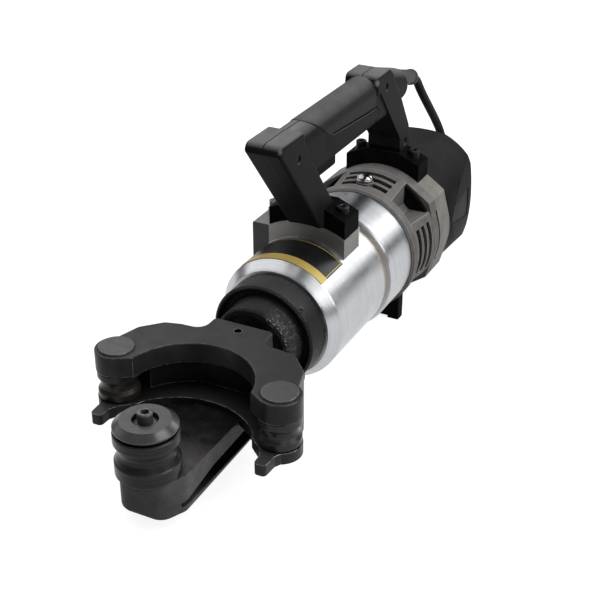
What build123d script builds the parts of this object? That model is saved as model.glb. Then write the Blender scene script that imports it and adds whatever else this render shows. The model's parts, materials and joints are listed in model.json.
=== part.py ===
from build123d import *
import os
from math import acos, atan2, cos, degrees, pi, radians, sin, sqrt, tan

# Portable electro-hydraulic rebar bender, in millimetres.
# Every piece is drawn about the machine's axis, which lies along Y. Stations along Y are counted from the
# mouth of the nose bore, heights along Z from the axis. seat() then moves each piece to the finished frame:
# origin on the floor, under the middle of the machine, with -Y towards the bending head and +Z up.

# Overall stand, fits and broken edges. SPAN is longer than any piece is wide.
AXIS_HEIGHT = 59.5
FIT = 0.05
SLIP = 0.3
EDGE = 0.8
SPAN = 300.0

# Bending head: fixed mandrel at the end of the beam
MANDREL_Y = -141.4
MANDREL_R = 22.5
MANDREL_WAIST_R = 19.3
MANDREL_TOP = 14.1
MANDREL_FLANGE = 7.1
MANDREL_LOW_FLANGE = 10.1
MANDREL_NECK_R = 19.6
MANDREL_NECK = 3.7
MANDREL_CAP = 4.5
MANDREL_CAP_FLAT_R = 17.3
MANDREL_RECESS_R = 9.0
MANDREL_RECESS = 5.2
MANDREL_PIN_R = 6.2
MANDREL_TIP_R = 5.2
MANDREL_PIN_PROUD = 5.5
MANDREL_SOCKET_R = 3.3
MANDREL_SOCKET = 9.0
RING_CLIP_R = 8.4
RING_CLIP = 1.6
RING_GAP_FROM = -52.0
RING_GAP_TO = -28.0

# Beam and nose of the frame
BEAM_HALF = 25.4
BEAM_TOP = -18.5
BEAM_BOTTOM = -45.6
BEAM_FRONT_BOTTOM = -49.6
BEAM_FRONT_OVER = 12.8
BEAM_NOSE_FLAT = 16.5
BEAM_NOSE_BACK = 17.6
BEAM_NOSE_FRONT_R = 12.0
BEAM_NOSE_SIDE_R = 9.0
BEAM_EDGE_R = 4.0
BEAM_SLOT_DEPTH = 9.0
BEAM_SLOT_LIP = 3.6
BEAM_SLOT_FRONT_LIP = 6.5
BEAM_SLOT_BACK = 13.5
BEAM_SLOT_FRONT_TOP = -39.5
BEAM_SLOT_STEP_Y = -101.4
BEAM_SLOT_STEP_TOP = -32.7
BEAM_SLOT_REAR_TOP = -29.0
BEAM_SLOT_REAR = -6.0
BEAM_SLOT_R = 1.5
REST_PAD_HALF = 13.8
REST_PAD_LENGTH = 66.0
REST_PAD_BACK = 25.0
REST_PAD_CORNER = 3.0
NOSE_BORE_R = 27.2
NOSE_COLLAR_R = 31.6
NOSE_COLLAR_BREAK = 1.6
NOSE_COLLAR_LONG = 14.0
NOSE_COLLAR_ROOT_R = 34.0
NOSE_FLOOR = 22.0
NOSE_RING_R = 42.0
NOSE_RING_WALL = 4.2
NOSE_RING_BREAK = 1.5
NOSE_RING_FRONT = 16.8
NOSE_RING_REAR = 37.9
NOSE_NECK_R = 41.0
SLEEVE_R = 38.0
SLEEVE_END = 74.0
SET_SCREW_R = 2.6
SET_SCREW_PROUD = 0.6
SET_SCREW_SOCKET_R = 1.4
SET_SCREW_SOCKET = 1.6
SET_SCREW_ANGLE = 43.0
SET_SCREW_Y = 21.4

# Sliding yoke
YOKE_TOP = 24.3
YOKE_PLATE = 15.6
YOKE_LOW_TOP = -14.0
YOKE_LOW_PLATE = 8.7
YOKE_GUIDE = 0.3
YOKE_EDGE_R = 1.5
TANG_REAR = -10.0
TANG_HALF = 24.4
TANG_BREAK = 2.4
TANG_ROOT = -28.0
TANG_FILLET = 9.0
HUB_FRONT = -38.5
NECK_CORNER = (42.0, -29.2)
SHOULDER_X = 54.0
SHOULDER_Y = -32.5
SHOULDER_R = 7.0
CHEEK_X = 67.5
CHEEK_Y = -47.0
CHEEK_END = (72.5, -64.3)
YOKE_MOUTH_R = 47.5
YOKE_MOUTH_Y = -92.7
YOKE_WEB_R = 57.5
YOKE_LOW_MOUTH_R = 58.0
YOKE_LOW_MOUTH_Y = -117.0
ROLLER_X = 65.2
ROLLER_Y = -78.5
LUG_R = 15.7
LUG_CORNERS = ((44.0, -78.5), (44.0, -84.15), (57.2, -92.0))
EAR_CORNERS = (
    (44.0, -79.5),
    (46.0, -84.0),
    (57.0, -93.5),
    (60.6, -100.0),
    (61.0, -109.5),
    (69.7, -109.5),
    (70.3, -96.5),
    (74.2, -89.5),
    (79.9, -82.5),
)
EAR_TIP_R = 3.0
PIN_R = 8.0
PIN_HEAD_R = 13.0
PIN_HEAD = 1.6
PIN_HEAD_EDGE = 0.6
ROLLER_R = 15.2
ROLLER_WAIST_R = 13.0
ROLLER_WAIST = 5.2
ROLLER_FLANGE = 5.5
ROLLER_END_GAP = 0.3
ROLLER_ROOM = 2.5
LOCK_PIN_R = 3.0
LOCK_PIN_Y = -19.7
LOCK_PIN_SUNK = 3.0

# Ram and cylinder
SPIGOT_R = 14.0
SPIGOT = 22.0
ROD_R = 18.0
PISTON_FRONT = 95.0
PISTON = 15.0
ROD_BORE_R = 13.0
ROD_BORE_FRONT = 12.0
BUSH_FRONT = 6.0
BUSH_REAR = 28.0
LINER_R = 33.0
LINER_FRONT = 30.0
SPRING_R = 9.4
SPRING_WIRE = 2.4
SPRING_TURNS = 16
SPRING_EYE_R = 3.0
SPRING_EYE_Y = 16.0

# Aluminium pump body
BODY_FRONT = 39.4
BODY_FRONT_R = 45.0
BODY_CONE_R = 50.6
BODY_CONE_END = 47.7
BODY_R = 51.0
BODY_END = 132.0
BODY_WALL = 5.0
BODY_STEP = 77.0
BODY_BREAK = 1.2
SADDLE_HALF = 33.0
SADDLE_FRONT = 90.0
SADDLE_REAR = 118.0
SADDLE_R = 64.4
LABEL_FRONT = 57.2
LABEL_REAR = 85.2
STRIP_FRONT = 47.9
LABEL_HALF_ANGLE = 42.0
LABEL_THICK = 0.4
VALVE_BLOCK_OUT = 47.5
VALVE_BLOCK_TOP = 55.4
VALVE_BLOCK_BOTTOM = 24.0
VALVE_X = -40.0
VALVE_Y = 113.0
VALVE_STEM_R = 3.0
VALVE_STEM = 9.0
VALVE_LIFT = 1.6
VALVE_FLANGE_R = 5.0
VALVE_FLANGE = 2.4
VALVE_HEX_R = 4.6
VALVE_HEX = 7.0
BLADDER_FRONT = 80.0
BLADDER_REAR = 112.0
BLADDER_WALL = 2.5

# Pump block, eccentric drive and gear case
PUMP_FRONT = 118.0
PUMP_BAND_R = 49.6
GEAR_CASE_FRONT = 140.0
GEAR_CASE_R = 53.7
GEAR_CASE_END = 181.2
GEAR_CASE_WALL = 5.5
PUMP_REAR = 150.0
GEAR_MODULE = 1.0
GEAR_ROOT = 1.15
GEAR_TIP = 0.8
GEAR_ROOT_SHARE = 0.5
GEAR_TIP_SHARE = 0.22
PINION_TEETH = 10
GEAR_TEETH = 34
GEAR_FRONT = 160.0
GEAR_WIDTH = 7.0
ECCENTRIC_FRONT = 151.0
ECCENTRIC_WIDTH = 7.0
ECCENTRIC_R = 7.0
ECCENTRIC_THROW = 1.5
SHAFT_R = 5.0
BEARING_R = 10.0
BEARING_WIDTH = 7.0
BEARING_GROOVE = 2.4
BEARING_PLATE_FRONT = 173.0
PLUNGER_R = 3.0
PLUNGER_TOP = 4.0
PLUNGER_ROOM = 3.0
PLUNGER_BOSS_HALF = 8.0
PLUNGER_BOSS_GAP = 2.0
PLUNGER_BOSS_ROOF = 6.0

# Vented motor housing
VENT_RING_R = 56.4
VENT_RING_END = 193.0
VENT_BREAK = 1.8
PAD_FRONT_R = 53.5
PAD_REAR_R = 57.6
PAD_HALF = 28.0
PAD_END = 223.0
PAD_FLAT = 4.0
VENT_CORE_R = 43.0
VENT_CAVITY_R = 40.0
VENT_SLOTS = 3
VENT_SLOT = 5.4
VENT_PITCH = 8.4
VENT_FIRST = 4.4
VENT_SLOT_HALF_ANGLE = 23.0
VENT_BOSS_R = 7.2
VENT_SEAT = 56.2
VENT_SCREW_BACK = 21.0
VENT_SCREW_R = 2.2
VENT_SCREW_HEAD_R = 5.6
VENT_SCREW_HEAD = 4.2
VENT_SCREW_DOME = 2.9
VENT_CROSS = 6.2
VENT_CROSS_SLOT = 1.3
VENT_CROSS_DEEP = 1.6
VENT_CROSS_TURN = 20.0
CORNER_PLATE = 3.0
CORNER_PLATE_R = 56.0
CORNER_SCREW_AT = 47.8
CORNER_SCREW_R = 1.8
CORNER_SCREW_LONG = 4.5
CORNER_HEAD_R = 3.2
CORNER_HEAD_SINK = 0.8
CORNER_HEAD = 1.2
COLLAR_WALL = 5.0
COLLAR_R = 58.0
COLLAR_CORNER_R = 61.8
COLLAR_CORNER_ANGLE = 35.2
COLLAR_END = 260.0
COLLAR_SLOT_Y = 236.0
COLLAR_SLOT = 3.2
COLLAR_SLOT_FROM = -23.0
COLLAR_SLOT_TO = 26.0
HOUSING_BORE_R = 48.0

# Motor
STATOR_BORE_R = 25.6
STATOR_SHELF = 6.0
STATOR_LONG = 48.0
CORE_R = 25.0
CORE_SLOTS = 12
CORE_SLOT_DEEP = 6.0
CORE_SLOT = 3.0
FAN_FRONT = 198.0
FAN_REAR = 218.0
FAN_R = 37.0
FAN_HUB_R = 14.0
FAN_BLADES = 9
FAN_BLADE = 2.0
ARMATURE_R = 6.0
COMMUTATOR_R = 13.0
COMMUTATOR_FRONT = 288.0
COMMUTATOR_REAR = 306.0
COMMUTATOR_BARS = 20
COMMUTATOR_GROOVE = 0.6
BRUSH_Y = 297.0
BRUSH_WIDE = 7.0
BRUSH_LONG = 10.0
BRUSH_END = 30.0
HOLDER_WALL = 2.5
HOLDER_START = 16.0
REAR_BEARING_FRONT = 318.0

# Motor cap
CAP_FRONT_R = 58.0
CAP_REAR_R = 61.5
CAP_TOP = 57.0
CAP_BOTTOM = -56.5
CAP_SHOULDER = 333.0
CAP_END = 345.0
CAP_CHAMFER = 12.0
CAP_SIDE_R = 149.0
CAP_SIDE_X = 51.0
CAP_SIDE_DRAFT = 5.87
CAP_END_HALF = 40.2
CAP_WALL = 3.5
PANEL_LOW_FRONT = (263.5, 1.0)
PANEL_TOP_FRONT = (272.0, 14.8)
PANEL_TOP_REAR = (322.5, 13.7)
PANEL_LOW_REAR = (322.9, -15.0)
PANEL_DEEP = 3.0
PANEL_GAP = 0.3
PANEL_SUNK = 0.6
PANEL_BACKING = 3.0
CAP_INTAKE_SLOTS = 5
CAP_INTAKE_WIDTH = 4.0
CAP_INTAKE_PITCH = 10.0
CAP_INTAKE_LOW = 17.0
CAP_INTAKE_HIGH = 34.0

# Rear support foot
FOOT_FRONT = 183.5
FOOT_PLATE = 9.0
FOOT_HALF = 43.0
FOOT_PAD = 10.0
FOOT_RELIEF = 2.0
FOOT_TOP = -28.0
FOOT_SCREW_X = 38.0
FOOT_SCREW_R = 2.0
FOOT_SCREW_TOP = -26.0
FOOT_HEAD_R = 3.6
FOOT_HEAD_TOP = -50.0
FOOT_HEAD = 2.2

# Handle brackets, with sloping wings
WING_SLOPE = 23.0
FRONT_WING_HALF = 32.8
FRONT_WING_TOP = 70.6
FRONT_BRACKET_FRONT = 91.0
FRONT_BRACKET_REAR = 116.5
REAR_WING_HALF = 34.3
REAR_WING_TOP = 62.6
REAR_BRACKET_FRONT = 238.3
TONGUE_HALF = 9.0
TONGUE_HIGH = 20.0
TONGUE_LONG = 12.0
WING_SCREW_X = 25.0
WING_SCREW_R = 2.5
WING_SCREW_LONG = 18.0
WING_SCREW_HEAD_R = 4.6
WING_SCREW_HEAD = 4.6
WING_SEAT_R = 5.0
WING_SEAT_DEEP = 0.6
SOCKET_SHARE = 0.52
SOCKET_FLOOR = 0.4

# Handle
HANDLE_HALF = 15.0
HANDLE_TOP = 152.6
HANDLE_EDGE = 2.5
LEG_FOOT_Y = 87.2
LEG_FOOT_Z = 63.2
LEG_HEAD_Y = 20.9
LEG_HEAD_Z = 145.5
LEG_TOP_R = 6.5
LEG_REAR_LOW_Y = 107.0
LEG_REAR_LOW_Z = 78.0
LEG_REAR_HIGH_Y = 60.0
LEG_REAR_HIGH_Z = 138.5
BLOCK_END = 56.0
GRIP_START = 50.0
CAVITY_END = 202.0
GRIP_END = 212.0
GRIP_TOP = 152.0
GRIP_BOTTOM = 111.5
GRIP_HALF = 13.6
GRIP_CROWN = 13.0
GRIP_EDGE = 6.0
COVER_FRONT_TOP = 77.0
COVER_FRONT_LOW = 100.0
COVER_LINE_FRONT = 135.5
COVER_LINE_REAR = 129.5
COVER_THICK = 2.0
SEAM = 0.3
FLANGE_FRONT = 188.5
FLANGE_END = 221.0
FLANGE_TOP = 153.6
FLANGE_TOP_R = 6.0
FLANGE_BEVEL_Y = 213.0
FLANGE_BEVEL_Z = 147.0
FLANGE_LOW = 137.0
REAR_LEG_FOOT_R = 4.0
REAR_LEG_FRONT_Y = 241.0
REAR_LEG_FRONT_Z = 83.0
REAR_LEG_HEAD_Y = 189.5
REAR_LEG_HEAD_Z = 145.5
REAR_LEG_BACK_LOW_Y = 261.5
REAR_LEG_BACK_Y = 259.5
REAR_LEG_BACK_Z = 90.0
REAR_LEG_ARM_Y = 241.0
REAR_LEG_ARM_Z = 119.0
STUB_START_Y = 214.0
STUB_START_Z = 137.6
STUB_SLOPE = 17.0
STUB_LENGTH = 45.3
STUB_R = 14.6
STUB_DOME = 5.0
SHELL_WALL = 4.5
HANDLE_SCREWS = ((48.5, 134.6), (206.7, 140.1), (252.5, 77.0))
HANDLE_SCREW_R = 1.9
HANDLE_HEAD_R = 3.4
HANDLE_HEAD = 1.8
HANDLE_SCREW_SINK = 3.0
HANDLE_BOSS_R = 5.0

# Trigger and switch
TRIGGER_FRONT = 95.0
TRIGGER_REAR = 127.0
TRIGGER_HALF = 7.0
TRIGGER_BOTTOM = 100.0
TRIGGER_HIGH = 18.5
TRIGGER_TRAVEL = 4.5
TRIGGER_LIP = 1.2
SWITCH_FRONT = 92.0
SWITCH_LONG = 44.0
SWITCH_LOW = 128.0
SWITCH_HIGH = 10.0
SWITCH_STEM_R = 3.0
TRIGGER_SPRING_R = 4.6
TRIGGER_SPRING_WIRE = 0.9
TRIGGER_SPRING_TURNS = 4

# Strain relief, mains cord, coil and plug. ARC_SHARE is the part of a run that each arc may take.
CORD_R = 4.0
ARC_SHARE = 0.45
RELIEF_R = 6.4
RELIEF_ROOT_R = 6.9
RELIEF_RIM_R = 7.1
RELIEF_RIM = 2.6
RELIEF_TAPER_FROM = 10.0
RELIEF_TAPER_TO = 18.0
RELIEF_LENGTH = 45.4
RELIEF_SUNK = 6.0
RELIEF_RISE = 7.0
CORD_CHANNEL = 4.0
CORD_STRAIGHT = 12.0
CORD_POINTS = (
    (0.0, 322.5, 99.4),
    (0.0, 345.5, 76.8),
    (0.0, 366.0, 56.7),
    (1.5, 380.5, 38.0),
    (4.0, 386.5, 14.0),
    (6.0, 387.0, -12.0),
    (6.5, 391.5, -34.0),
    (5.6, 400.0, -47.5),
    (3.52, 410.0, -54.6),
)
COIL_X = -55.0
COIL_Y = 410.0
COIL_OUT_R = 55.0
COIL_PITCH = 8.6
COIL_LAYER = 8.6
COIL_REVERSE = 2.5
COIL_TURNS = 4.5
COIL_START_ANGLE = 20.0
COIL_LIFT = 0.9
TAIL_STEPS = (
    (6.2, -16.9, -0.4),
    (14.5, -35.0, -2.2),
    (22.0, -53.5, -4.5),
    (26.0, -72.0, -4.5),
)
TIE_THICK = 0.6
TIE_GAP = 0.3
TIE_WIDE = 9.0
TIE_TURN = 0.25
PLUG_NOSE = 10.0
PLUG_NOSE_WALL = 2.4
PLUG_NOSE_SUNK = 4.0
PLUG_CORNER_R = 7.0
PLUG_LONG = 46.0
PLUG_HALF = 17.0
PLUG_HIGH = 18.0
PLUG_PIN_R = 2.4
PLUG_PIN_TIP_R = 1.7
PLUG_PIN_LONG = 19.0
PLUG_PIN_SPACING = 19.0

# Places that follow from the sizes above
MACHINE_FRONT = MANDREL_Y - MANDREL_R
MID_Y = (MACHINE_FRONT + CAP_END) / 2
FLOOR = -AXIS_HEIGHT
BEAM_FRONT = MANDREL_Y - BEAM_FRONT_OVER
YOKE_UNDER = YOKE_TOP - YOKE_PLATE
YOKE_BOTTOM = YOKE_LOW_TOP - YOKE_LOW_PLATE
GUIDE_TOP = BEAM_TOP + YOKE_GUIDE
BODY_BORE_R = BODY_R - BODY_WALL
CASE_BORE_R = GEAR_CASE_R - GEAR_CASE_WALL
COLLAR_FRONT = PAD_END + CORNER_PLATE
VENT_SCREW_Y = PAD_END - VENT_SCREW_BACK
STATOR_FRONT = COLLAR_FRONT + STATOR_SHELF
STATOR_REAR = STATOR_FRONT + STATOR_LONG
PINION_PITCH_R = GEAR_MODULE * PINION_TEETH / 2
GEAR_PITCH_R = GEAR_MODULE * GEAR_TEETH / 2
SHAFT_Z = -(PINION_PITCH_R + GEAR_PITCH_R)
LOBE_TOP = SHAFT_Z + ECCENTRIC_THROW + ECCENTRIC_R
ECCENTRIC_END = ECCENTRIC_FRONT + ECCENTRIC_WIDTH
ECCENTRIC_MIDDLE = ECCENTRIC_FRONT + ECCENTRIC_WIDTH / 2
COLLAR_CORNERS = [half + side * COLLAR_CORNER_ANGLE for half in (0, 180) for side in (-1, 1)]
BEARING_PLATE_END = GEAR_CASE_END - 1.0
STUB_RUN = (cos(radians(STUB_SLOPE)), -sin(radians(STUB_SLOPE)))
STUB_END = (STUB_START_Y + STUB_LENGTH * STUB_RUN[0], STUB_START_Z + STUB_LENGTH * STUB_RUN[1])
RELIEF_START = (
    STUB_END[0] - RELIEF_SUNK * STUB_RUN[0] - RELIEF_RISE * STUB_RUN[1],
    STUB_END[1] - RELIEF_SUNK * STUB_RUN[1] + RELIEF_RISE * STUB_RUN[0],
)
CORD_EXIT = (
    0.0,
    RELIEF_START[0] + RELIEF_LENGTH * STUB_RUN[0],
    RELIEF_START[1] + RELIEF_LENGTH * STUB_RUN[1],
)
CORD_LEAD = (
    0.0,
    CORD_EXIT[1] + CORD_STRAIGHT * STUB_RUN[0],
    CORD_EXIT[2] + CORD_STRAIGHT * STUB_RUN[1],
)
COIL_LOW_Z = FLOOR + CORD_R + COIL_LIFT
COIL_IN_R = COIL_OUT_R - COIL_PITCH * COIL_REVERSE
TIE_ANGLE = COIL_START_ANGLE + 360 * TIE_TURN
PLUG_Z = FLOOR + PLUG_HIGH / 2
REAR_BRACKET_REAR = COLLAR_END
FRONT_BRACKET_MIDDLE = (FRONT_BRACKET_FRONT + FRONT_BRACKET_REAR) / 2
REAR_BRACKET_MIDDLE = (REAR_BRACKET_FRONT + REAR_BRACKET_REAR) / 2
WING_RISE = tan(radians(WING_SLOPE))
FRONT_CREST = FRONT_WING_TOP + (FRONT_WING_HALF - HANDLE_HALF) * WING_RISE
REAR_CREST = REAR_WING_TOP + (REAR_WING_HALF - HANDLE_HALF) * WING_RISE
FOOT_MIDDLE = FOOT_FRONT + FOOT_PLATE / 2
TRIGGER_MIDDLE = (TRIGGER_FRONT + TRIGGER_REAR) / 2
TRIGGER_TOP = TRIGGER_BOTTOM + TRIGGER_HIGH


# Shape helpers

def turned(*profile):
    """A solid of revolution about the machine axis, from (radius, station) corners."""
    return revolve(Polygon(*profile, align=None), Axis.Y)


def ring(outer, inner, start, end):
    return turned((inner, start), (outer, start), (outer, end), (inner, end))


def post(radius, low, high, x=0.0, y=0.0):
    base = (Align.CENTER, Align.CENTER, Align.MIN)
    return Pos(x, y, low) * Cylinder(radius, high - low, align=base)


def rod_y(radius, start, end, x=0.0, z=0.0):
    return Pos(x, end, z) * Rot(90, 0, 0) * post(radius, 0, end - start)


def bar_x(radius, left, right, y=0.0, z=0.0):
    return Pos(left, y, z) * Rot(0, 90, 0) * post(radius, 0, right - left)


def block(x0, x1, y0, y1, z0, z1):
    return Pos((x0 + x1) / 2, (y0 + y1) / 2, (z0 + z1) / 2) * Box(x1 - x0, y1 - y0, z1 - z0)


def along_x(sketch, left, right):
    """A (y, z) outline given thickness along X."""
    return extrude(Plane(origin=(left, 0, 0), x_dir=(0, 1, 0), z_dir=(1, 0, 0)) * sketch, right - left)


def along_y(sketch, start, end):
    """An (x, z) outline given length along the machine axis."""
    return extrude(Plane(origin=(0, end, 0), x_dir=(1, 0, 0), z_dir=(0, -1, 0)) * sketch, end - start)


def along_z(sketch, low, high):
    return extrude(Plane.XY.offset(low) * sketch, high - low)


def outline(*points):
    """A closed outline, taken anticlockwise whichever way its corners are listed."""
    turn = sum(a[0] * b[1] - b[0] * a[1] for a, b in zip(points, points[1:] + points[:1]))
    return Polygon(*(points if turn > 0 else points[::-1]), align=None)


def vertex_at(sketch, x, y):
    return [v for v in sketch.vertices() if abs(v.X - x) < 0.01 and abs(v.Y - y) < 0.01]


def both_sides(shape):
    return shape + mirror(shape, Plane.YZ)


def polar(radius, angle):
    return radius * cos(radians(angle)), radius * sin(radians(angle))


def sector(inner, outer, angle_from, angle_to, start, end):
    """Part of a tube about the axis, between two angles counted from +X towards +Z."""
    reach = outer * 1.6
    middle = (angle_from + angle_to) / 2
    wedge = outline((0, 0), polar(reach, angle_from), polar(reach, middle), polar(reach, angle_to))
    return ring(outer, inner, start, end) & along_y(wedge, start - 1, end + 1)


def socket_screw(head_r, head, shank_r, shank):
    """Socket-head screw with its head's underside at the origin, pointing down."""
    screw = post(head_r, 0, head) + post(shank_r, -shank, 0)
    return screw - along_z(RegularPolygon(head_r * SOCKET_SHARE, 6), head * SOCKET_FLOOR, head + 1)


def biarc(start, start_dir, end, end_dir):
    """Two tangent arcs from one point and direction to another."""
    chord = end - start
    total = start_dir + end_dir
    spread = 2 * (1 - start_dir.dot(end_dir))
    lean = chord.dot(total)
    reach = (sqrt(lean * lean + spread * chord.dot(chord)) - lean) / spread
    joint = (start + end) * 0.5 + (start_dir - end_dir) * (reach / 2)
    joint_dir = (chord - total * reach).normalized()
    return [
        Edge.make_tangent_arc(start, start_dir, joint),
        Edge.make_tangent_arc(joint, joint_dir, end),
    ]


def path_through(place, stops):
    """A wire of biarcs through place(stop), which gives a point of the line for each stop."""
    step = 1e-4
    edges = []
    for low, high in zip(stops, stops[1:]):
        ends = [place(stop) for stop in (low, high)]
        ways = [(place(stop + step) - place(stop - step)).normalized() for stop in (low, high)]
        edges += biarc(ends[0], ways[0], ends[1], ways[1])
    return Wire(edges)


def tube(path, radius):
    start = path.position_at(0)
    return sweep(Plane(origin=start, z_dir=path.tangent_at(0)) * Circle(radius), path=path)


def least_self_gap(place, turns, wire_r):
    """The smallest clear gap between points of a winding that lie at least half a turn apart."""
    per_turn = 48
    points = [place(i / per_turn) for i in range(int(turns * per_turn) + 1)]
    nearest = min(
        (a - b).length
        for i, a in enumerate(points)
        for b in points[i + per_turn // 2:]
    )
    return nearest - 2 * wire_r


def gear(module, teeth, start, end, bore_r, phase):
    """Spur gear about the machine axis, with straight-flanked teeth thinned for running clearance."""
    pitch_r = module * teeth / 2
    root_r = pitch_r - GEAR_ROOT * module
    tip_r = pitch_r + GEAR_TIP * module
    root_half = GEAR_ROOT_SHARE * pi * module / 2
    tip_half = GEAR_TIP_SHARE * pi * module / 2
    tooth = outline(
        (0, root_half),
        (root_r, root_half),
        (tip_r, tip_half),
        (tip_r, -tip_half),
        (root_r, -root_half),
        (0, -root_half),
    )
    blank = Circle(root_r)
    for i in range(teeth):
        blank += Rot(0, 0, phase + 360 * i / teeth) * tooth
    return along_y(blank - Circle(bore_r), start, end) if bore_r else along_y(blank, start, end)


# Bending head

def beam_under(station):
    """Height of the beam's underside, which falls away towards the nose."""
    share = (NOSE_RING_REAR - station) / (NOSE_RING_REAR - BEAM_FRONT)
    return BEAM_BOTTOM + (BEAM_FRONT_BOTTOM - BEAM_BOTTOM) * share


def beam_form():
    """The beam under the yoke: bevelled nose, falling underside and a slot along each side."""
    bevel_y = BEAM_FRONT + BEAM_NOSE_BACK
    plan = outline(
        (-BEAM_HALF, NOSE_RING_REAR),
        (-BEAM_HALF, bevel_y),
        (-BEAM_NOSE_FLAT, BEAM_FRONT),
        (BEAM_NOSE_FLAT, BEAM_FRONT),
        (BEAM_HALF, bevel_y),
        (BEAM_HALF, NOSE_RING_REAR),
    )
    plan = fillet(plan.vertices().sort_by(Axis.Y)[:2], BEAM_NOSE_FRONT_R)
    plan = fillet([v for v in plan.vertices() if abs(v.Y - bevel_y) < 0.01], BEAM_NOSE_SIDE_R)
    side = outline(
        (BEAM_FRONT, BEAM_TOP),
        (NOSE_RING_REAR, BEAM_TOP),
        (NOSE_RING_REAR, BEAM_BOTTOM),
        (BEAM_FRONT, BEAM_FRONT_BOTTOM),
    )
    beam = along_z(plan, BEAM_FRONT_BOTTOM, BEAM_TOP) & along_x(side, -BEAM_HALF, BEAM_HALF)
    low_edges = [
        edge
        for edge in beam.edges()
        if abs(edge.center().Z - beam_under(edge.center().Y)) < 0.01 and edge.center().Y < NOSE_RING_REAR - 1
    ]
    beam = fillet(low_edges, BEAM_EDGE_R)
    slot_front = BEAM_FRONT + BEAM_SLOT_BACK
    slot = outline(
        (BEAM_SLOT_REAR, beam_under(BEAM_SLOT_REAR) + BEAM_SLOT_LIP),
        (slot_front, beam_under(slot_front) + BEAM_SLOT_FRONT_LIP),
        (slot_front, BEAM_SLOT_FRONT_TOP),
        (BEAM_SLOT_STEP_Y, BEAM_SLOT_STEP_TOP),
        (BEAM_SLOT_REAR, BEAM_SLOT_REAR_TOP),
    )
    slot = fillet(slot.vertices(), BEAM_SLOT_R)
    return beam - both_sides(along_x(slot, BEAM_HALF - BEAM_SLOT_DEPTH, BEAM_HALF + 1))


def front_frame():
    """One casting: the nose ring and its threaded sleeve, the beam under the yoke, and a rest pad."""
    ring_in = NOSE_RING_R - NOSE_RING_WALL
    nose = turned(
        (NOSE_BORE_R, 0),
        (NOSE_COLLAR_R - NOSE_COLLAR_BREAK, 0),
        (NOSE_COLLAR_R, NOSE_COLLAR_BREAK),
        (NOSE_COLLAR_R, NOSE_COLLAR_LONG),
        (NOSE_COLLAR_ROOT_R, NOSE_FLOOR),
        (ring_in, NOSE_FLOOR),
        (ring_in, NOSE_RING_FRONT + NOSE_RING_BREAK),
        (ring_in + NOSE_RING_BREAK, NOSE_RING_FRONT),
        (NOSE_RING_R - NOSE_RING_BREAK, NOSE_RING_FRONT),
        (NOSE_RING_R, NOSE_RING_FRONT + NOSE_RING_BREAK),
        (NOSE_RING_R, NOSE_RING_REAR),
        (NOSE_NECK_R, NOSE_RING_REAR),
        (NOSE_NECK_R, BODY_FRONT),
        (SLEEVE_R, BODY_FRONT),
        (SLEEVE_R, SLEEVE_END),
        (LINER_R + FIT, SLEEVE_END),
        (LINER_R + FIT, LINER_FRONT),
        (NOSE_BORE_R, LINER_FRONT),
    )
    pad_front = BEAM_FRONT + REST_PAD_BACK
    pad = block(
        -REST_PAD_HALF, REST_PAD_HALF, pad_front, pad_front + REST_PAD_LENGTH, FLOOR, BEAM_BOTTOM + 1
    )
    beam = beam_form() + chamfer(pad.edges().filter_by(Axis.Z), REST_PAD_CORNER)
    beam -= rod_y(NOSE_BORE_R, TANG_REAR, NOSE_RING_REAR + 1)
    beam -= rod_y(LINER_R + FIT, LINER_FRONT, NOSE_RING_REAR + 1)
    beam -= post(MANDREL_PIN_R, BEAM_FRONT_BOTTOM - 1, BEAM_TOP + 1, 0, MANDREL_Y)
    return (nose + beam) - set_screw_shape(0.0)


def radial_place(station, angle):
    """Stands an upright shape on the axis at a station, leaning to an angle counted from +X."""
    return Pos(0, station, 0) * Rot(0, 90 - angle, 0)


def set_screw_shape(clearance):
    """The screw that locks the frame to the pump body, radial in the nose ring."""
    low = NOSE_RING_R - NOSE_RING_WALL - SET_SCREW_PROUD
    screw = post(SET_SCREW_R + clearance, low, NOSE_RING_R + SET_SCREW_PROUD)
    return radial_place(SET_SCREW_Y, SET_SCREW_ANGLE) * screw


def frame_set_screw():
    socket = RegularPolygon(SET_SCREW_SOCKET_R, 6)
    socket = along_z(socket, NOSE_RING_R - SET_SCREW_SOCKET, NOSE_RING_R + 2 * SET_SCREW_PROUD)
    return set_screw_shape(-FIT) - radial_place(SET_SCREW_Y, SET_SCREW_ANGLE) * socket


def mandrel_roller():
    """Grooved centre roller, free to turn on its pin."""
    low = BEAM_TOP + SLIP
    mid_low = low + MANDREL_LOW_FLANGE
    mid_high = MANDREL_TOP - MANDREL_FLANGE
    waist_low = (mid_low * 2 + mid_high) / 3
    waist_high = (mid_low + mid_high * 2) / 3
    profile = outline(
        (MANDREL_PIN_R + FIT, low),
        (MANDREL_R - EDGE, low),
        (MANDREL_R, low + EDGE),
        (MANDREL_R, mid_low),
        (MANDREL_R - EDGE, mid_low + EDGE),
        (MANDREL_WAIST_R + EDGE / 2, waist_low),
        (MANDREL_WAIST_R, (mid_low + mid_high) / 2),
        (MANDREL_WAIST_R + EDGE / 2, waist_high),
        (MANDREL_R - EDGE, mid_high - EDGE),
        (MANDREL_R, mid_high),
        (MANDREL_R, MANDREL_TOP - EDGE),
        (MANDREL_R - EDGE, MANDREL_TOP),
        (MANDREL_PIN_R + FIT, MANDREL_TOP),
    )
    return Pos(0, MANDREL_Y, 0) * revolve(Plane.XZ * profile, Axis.Z)


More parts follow.
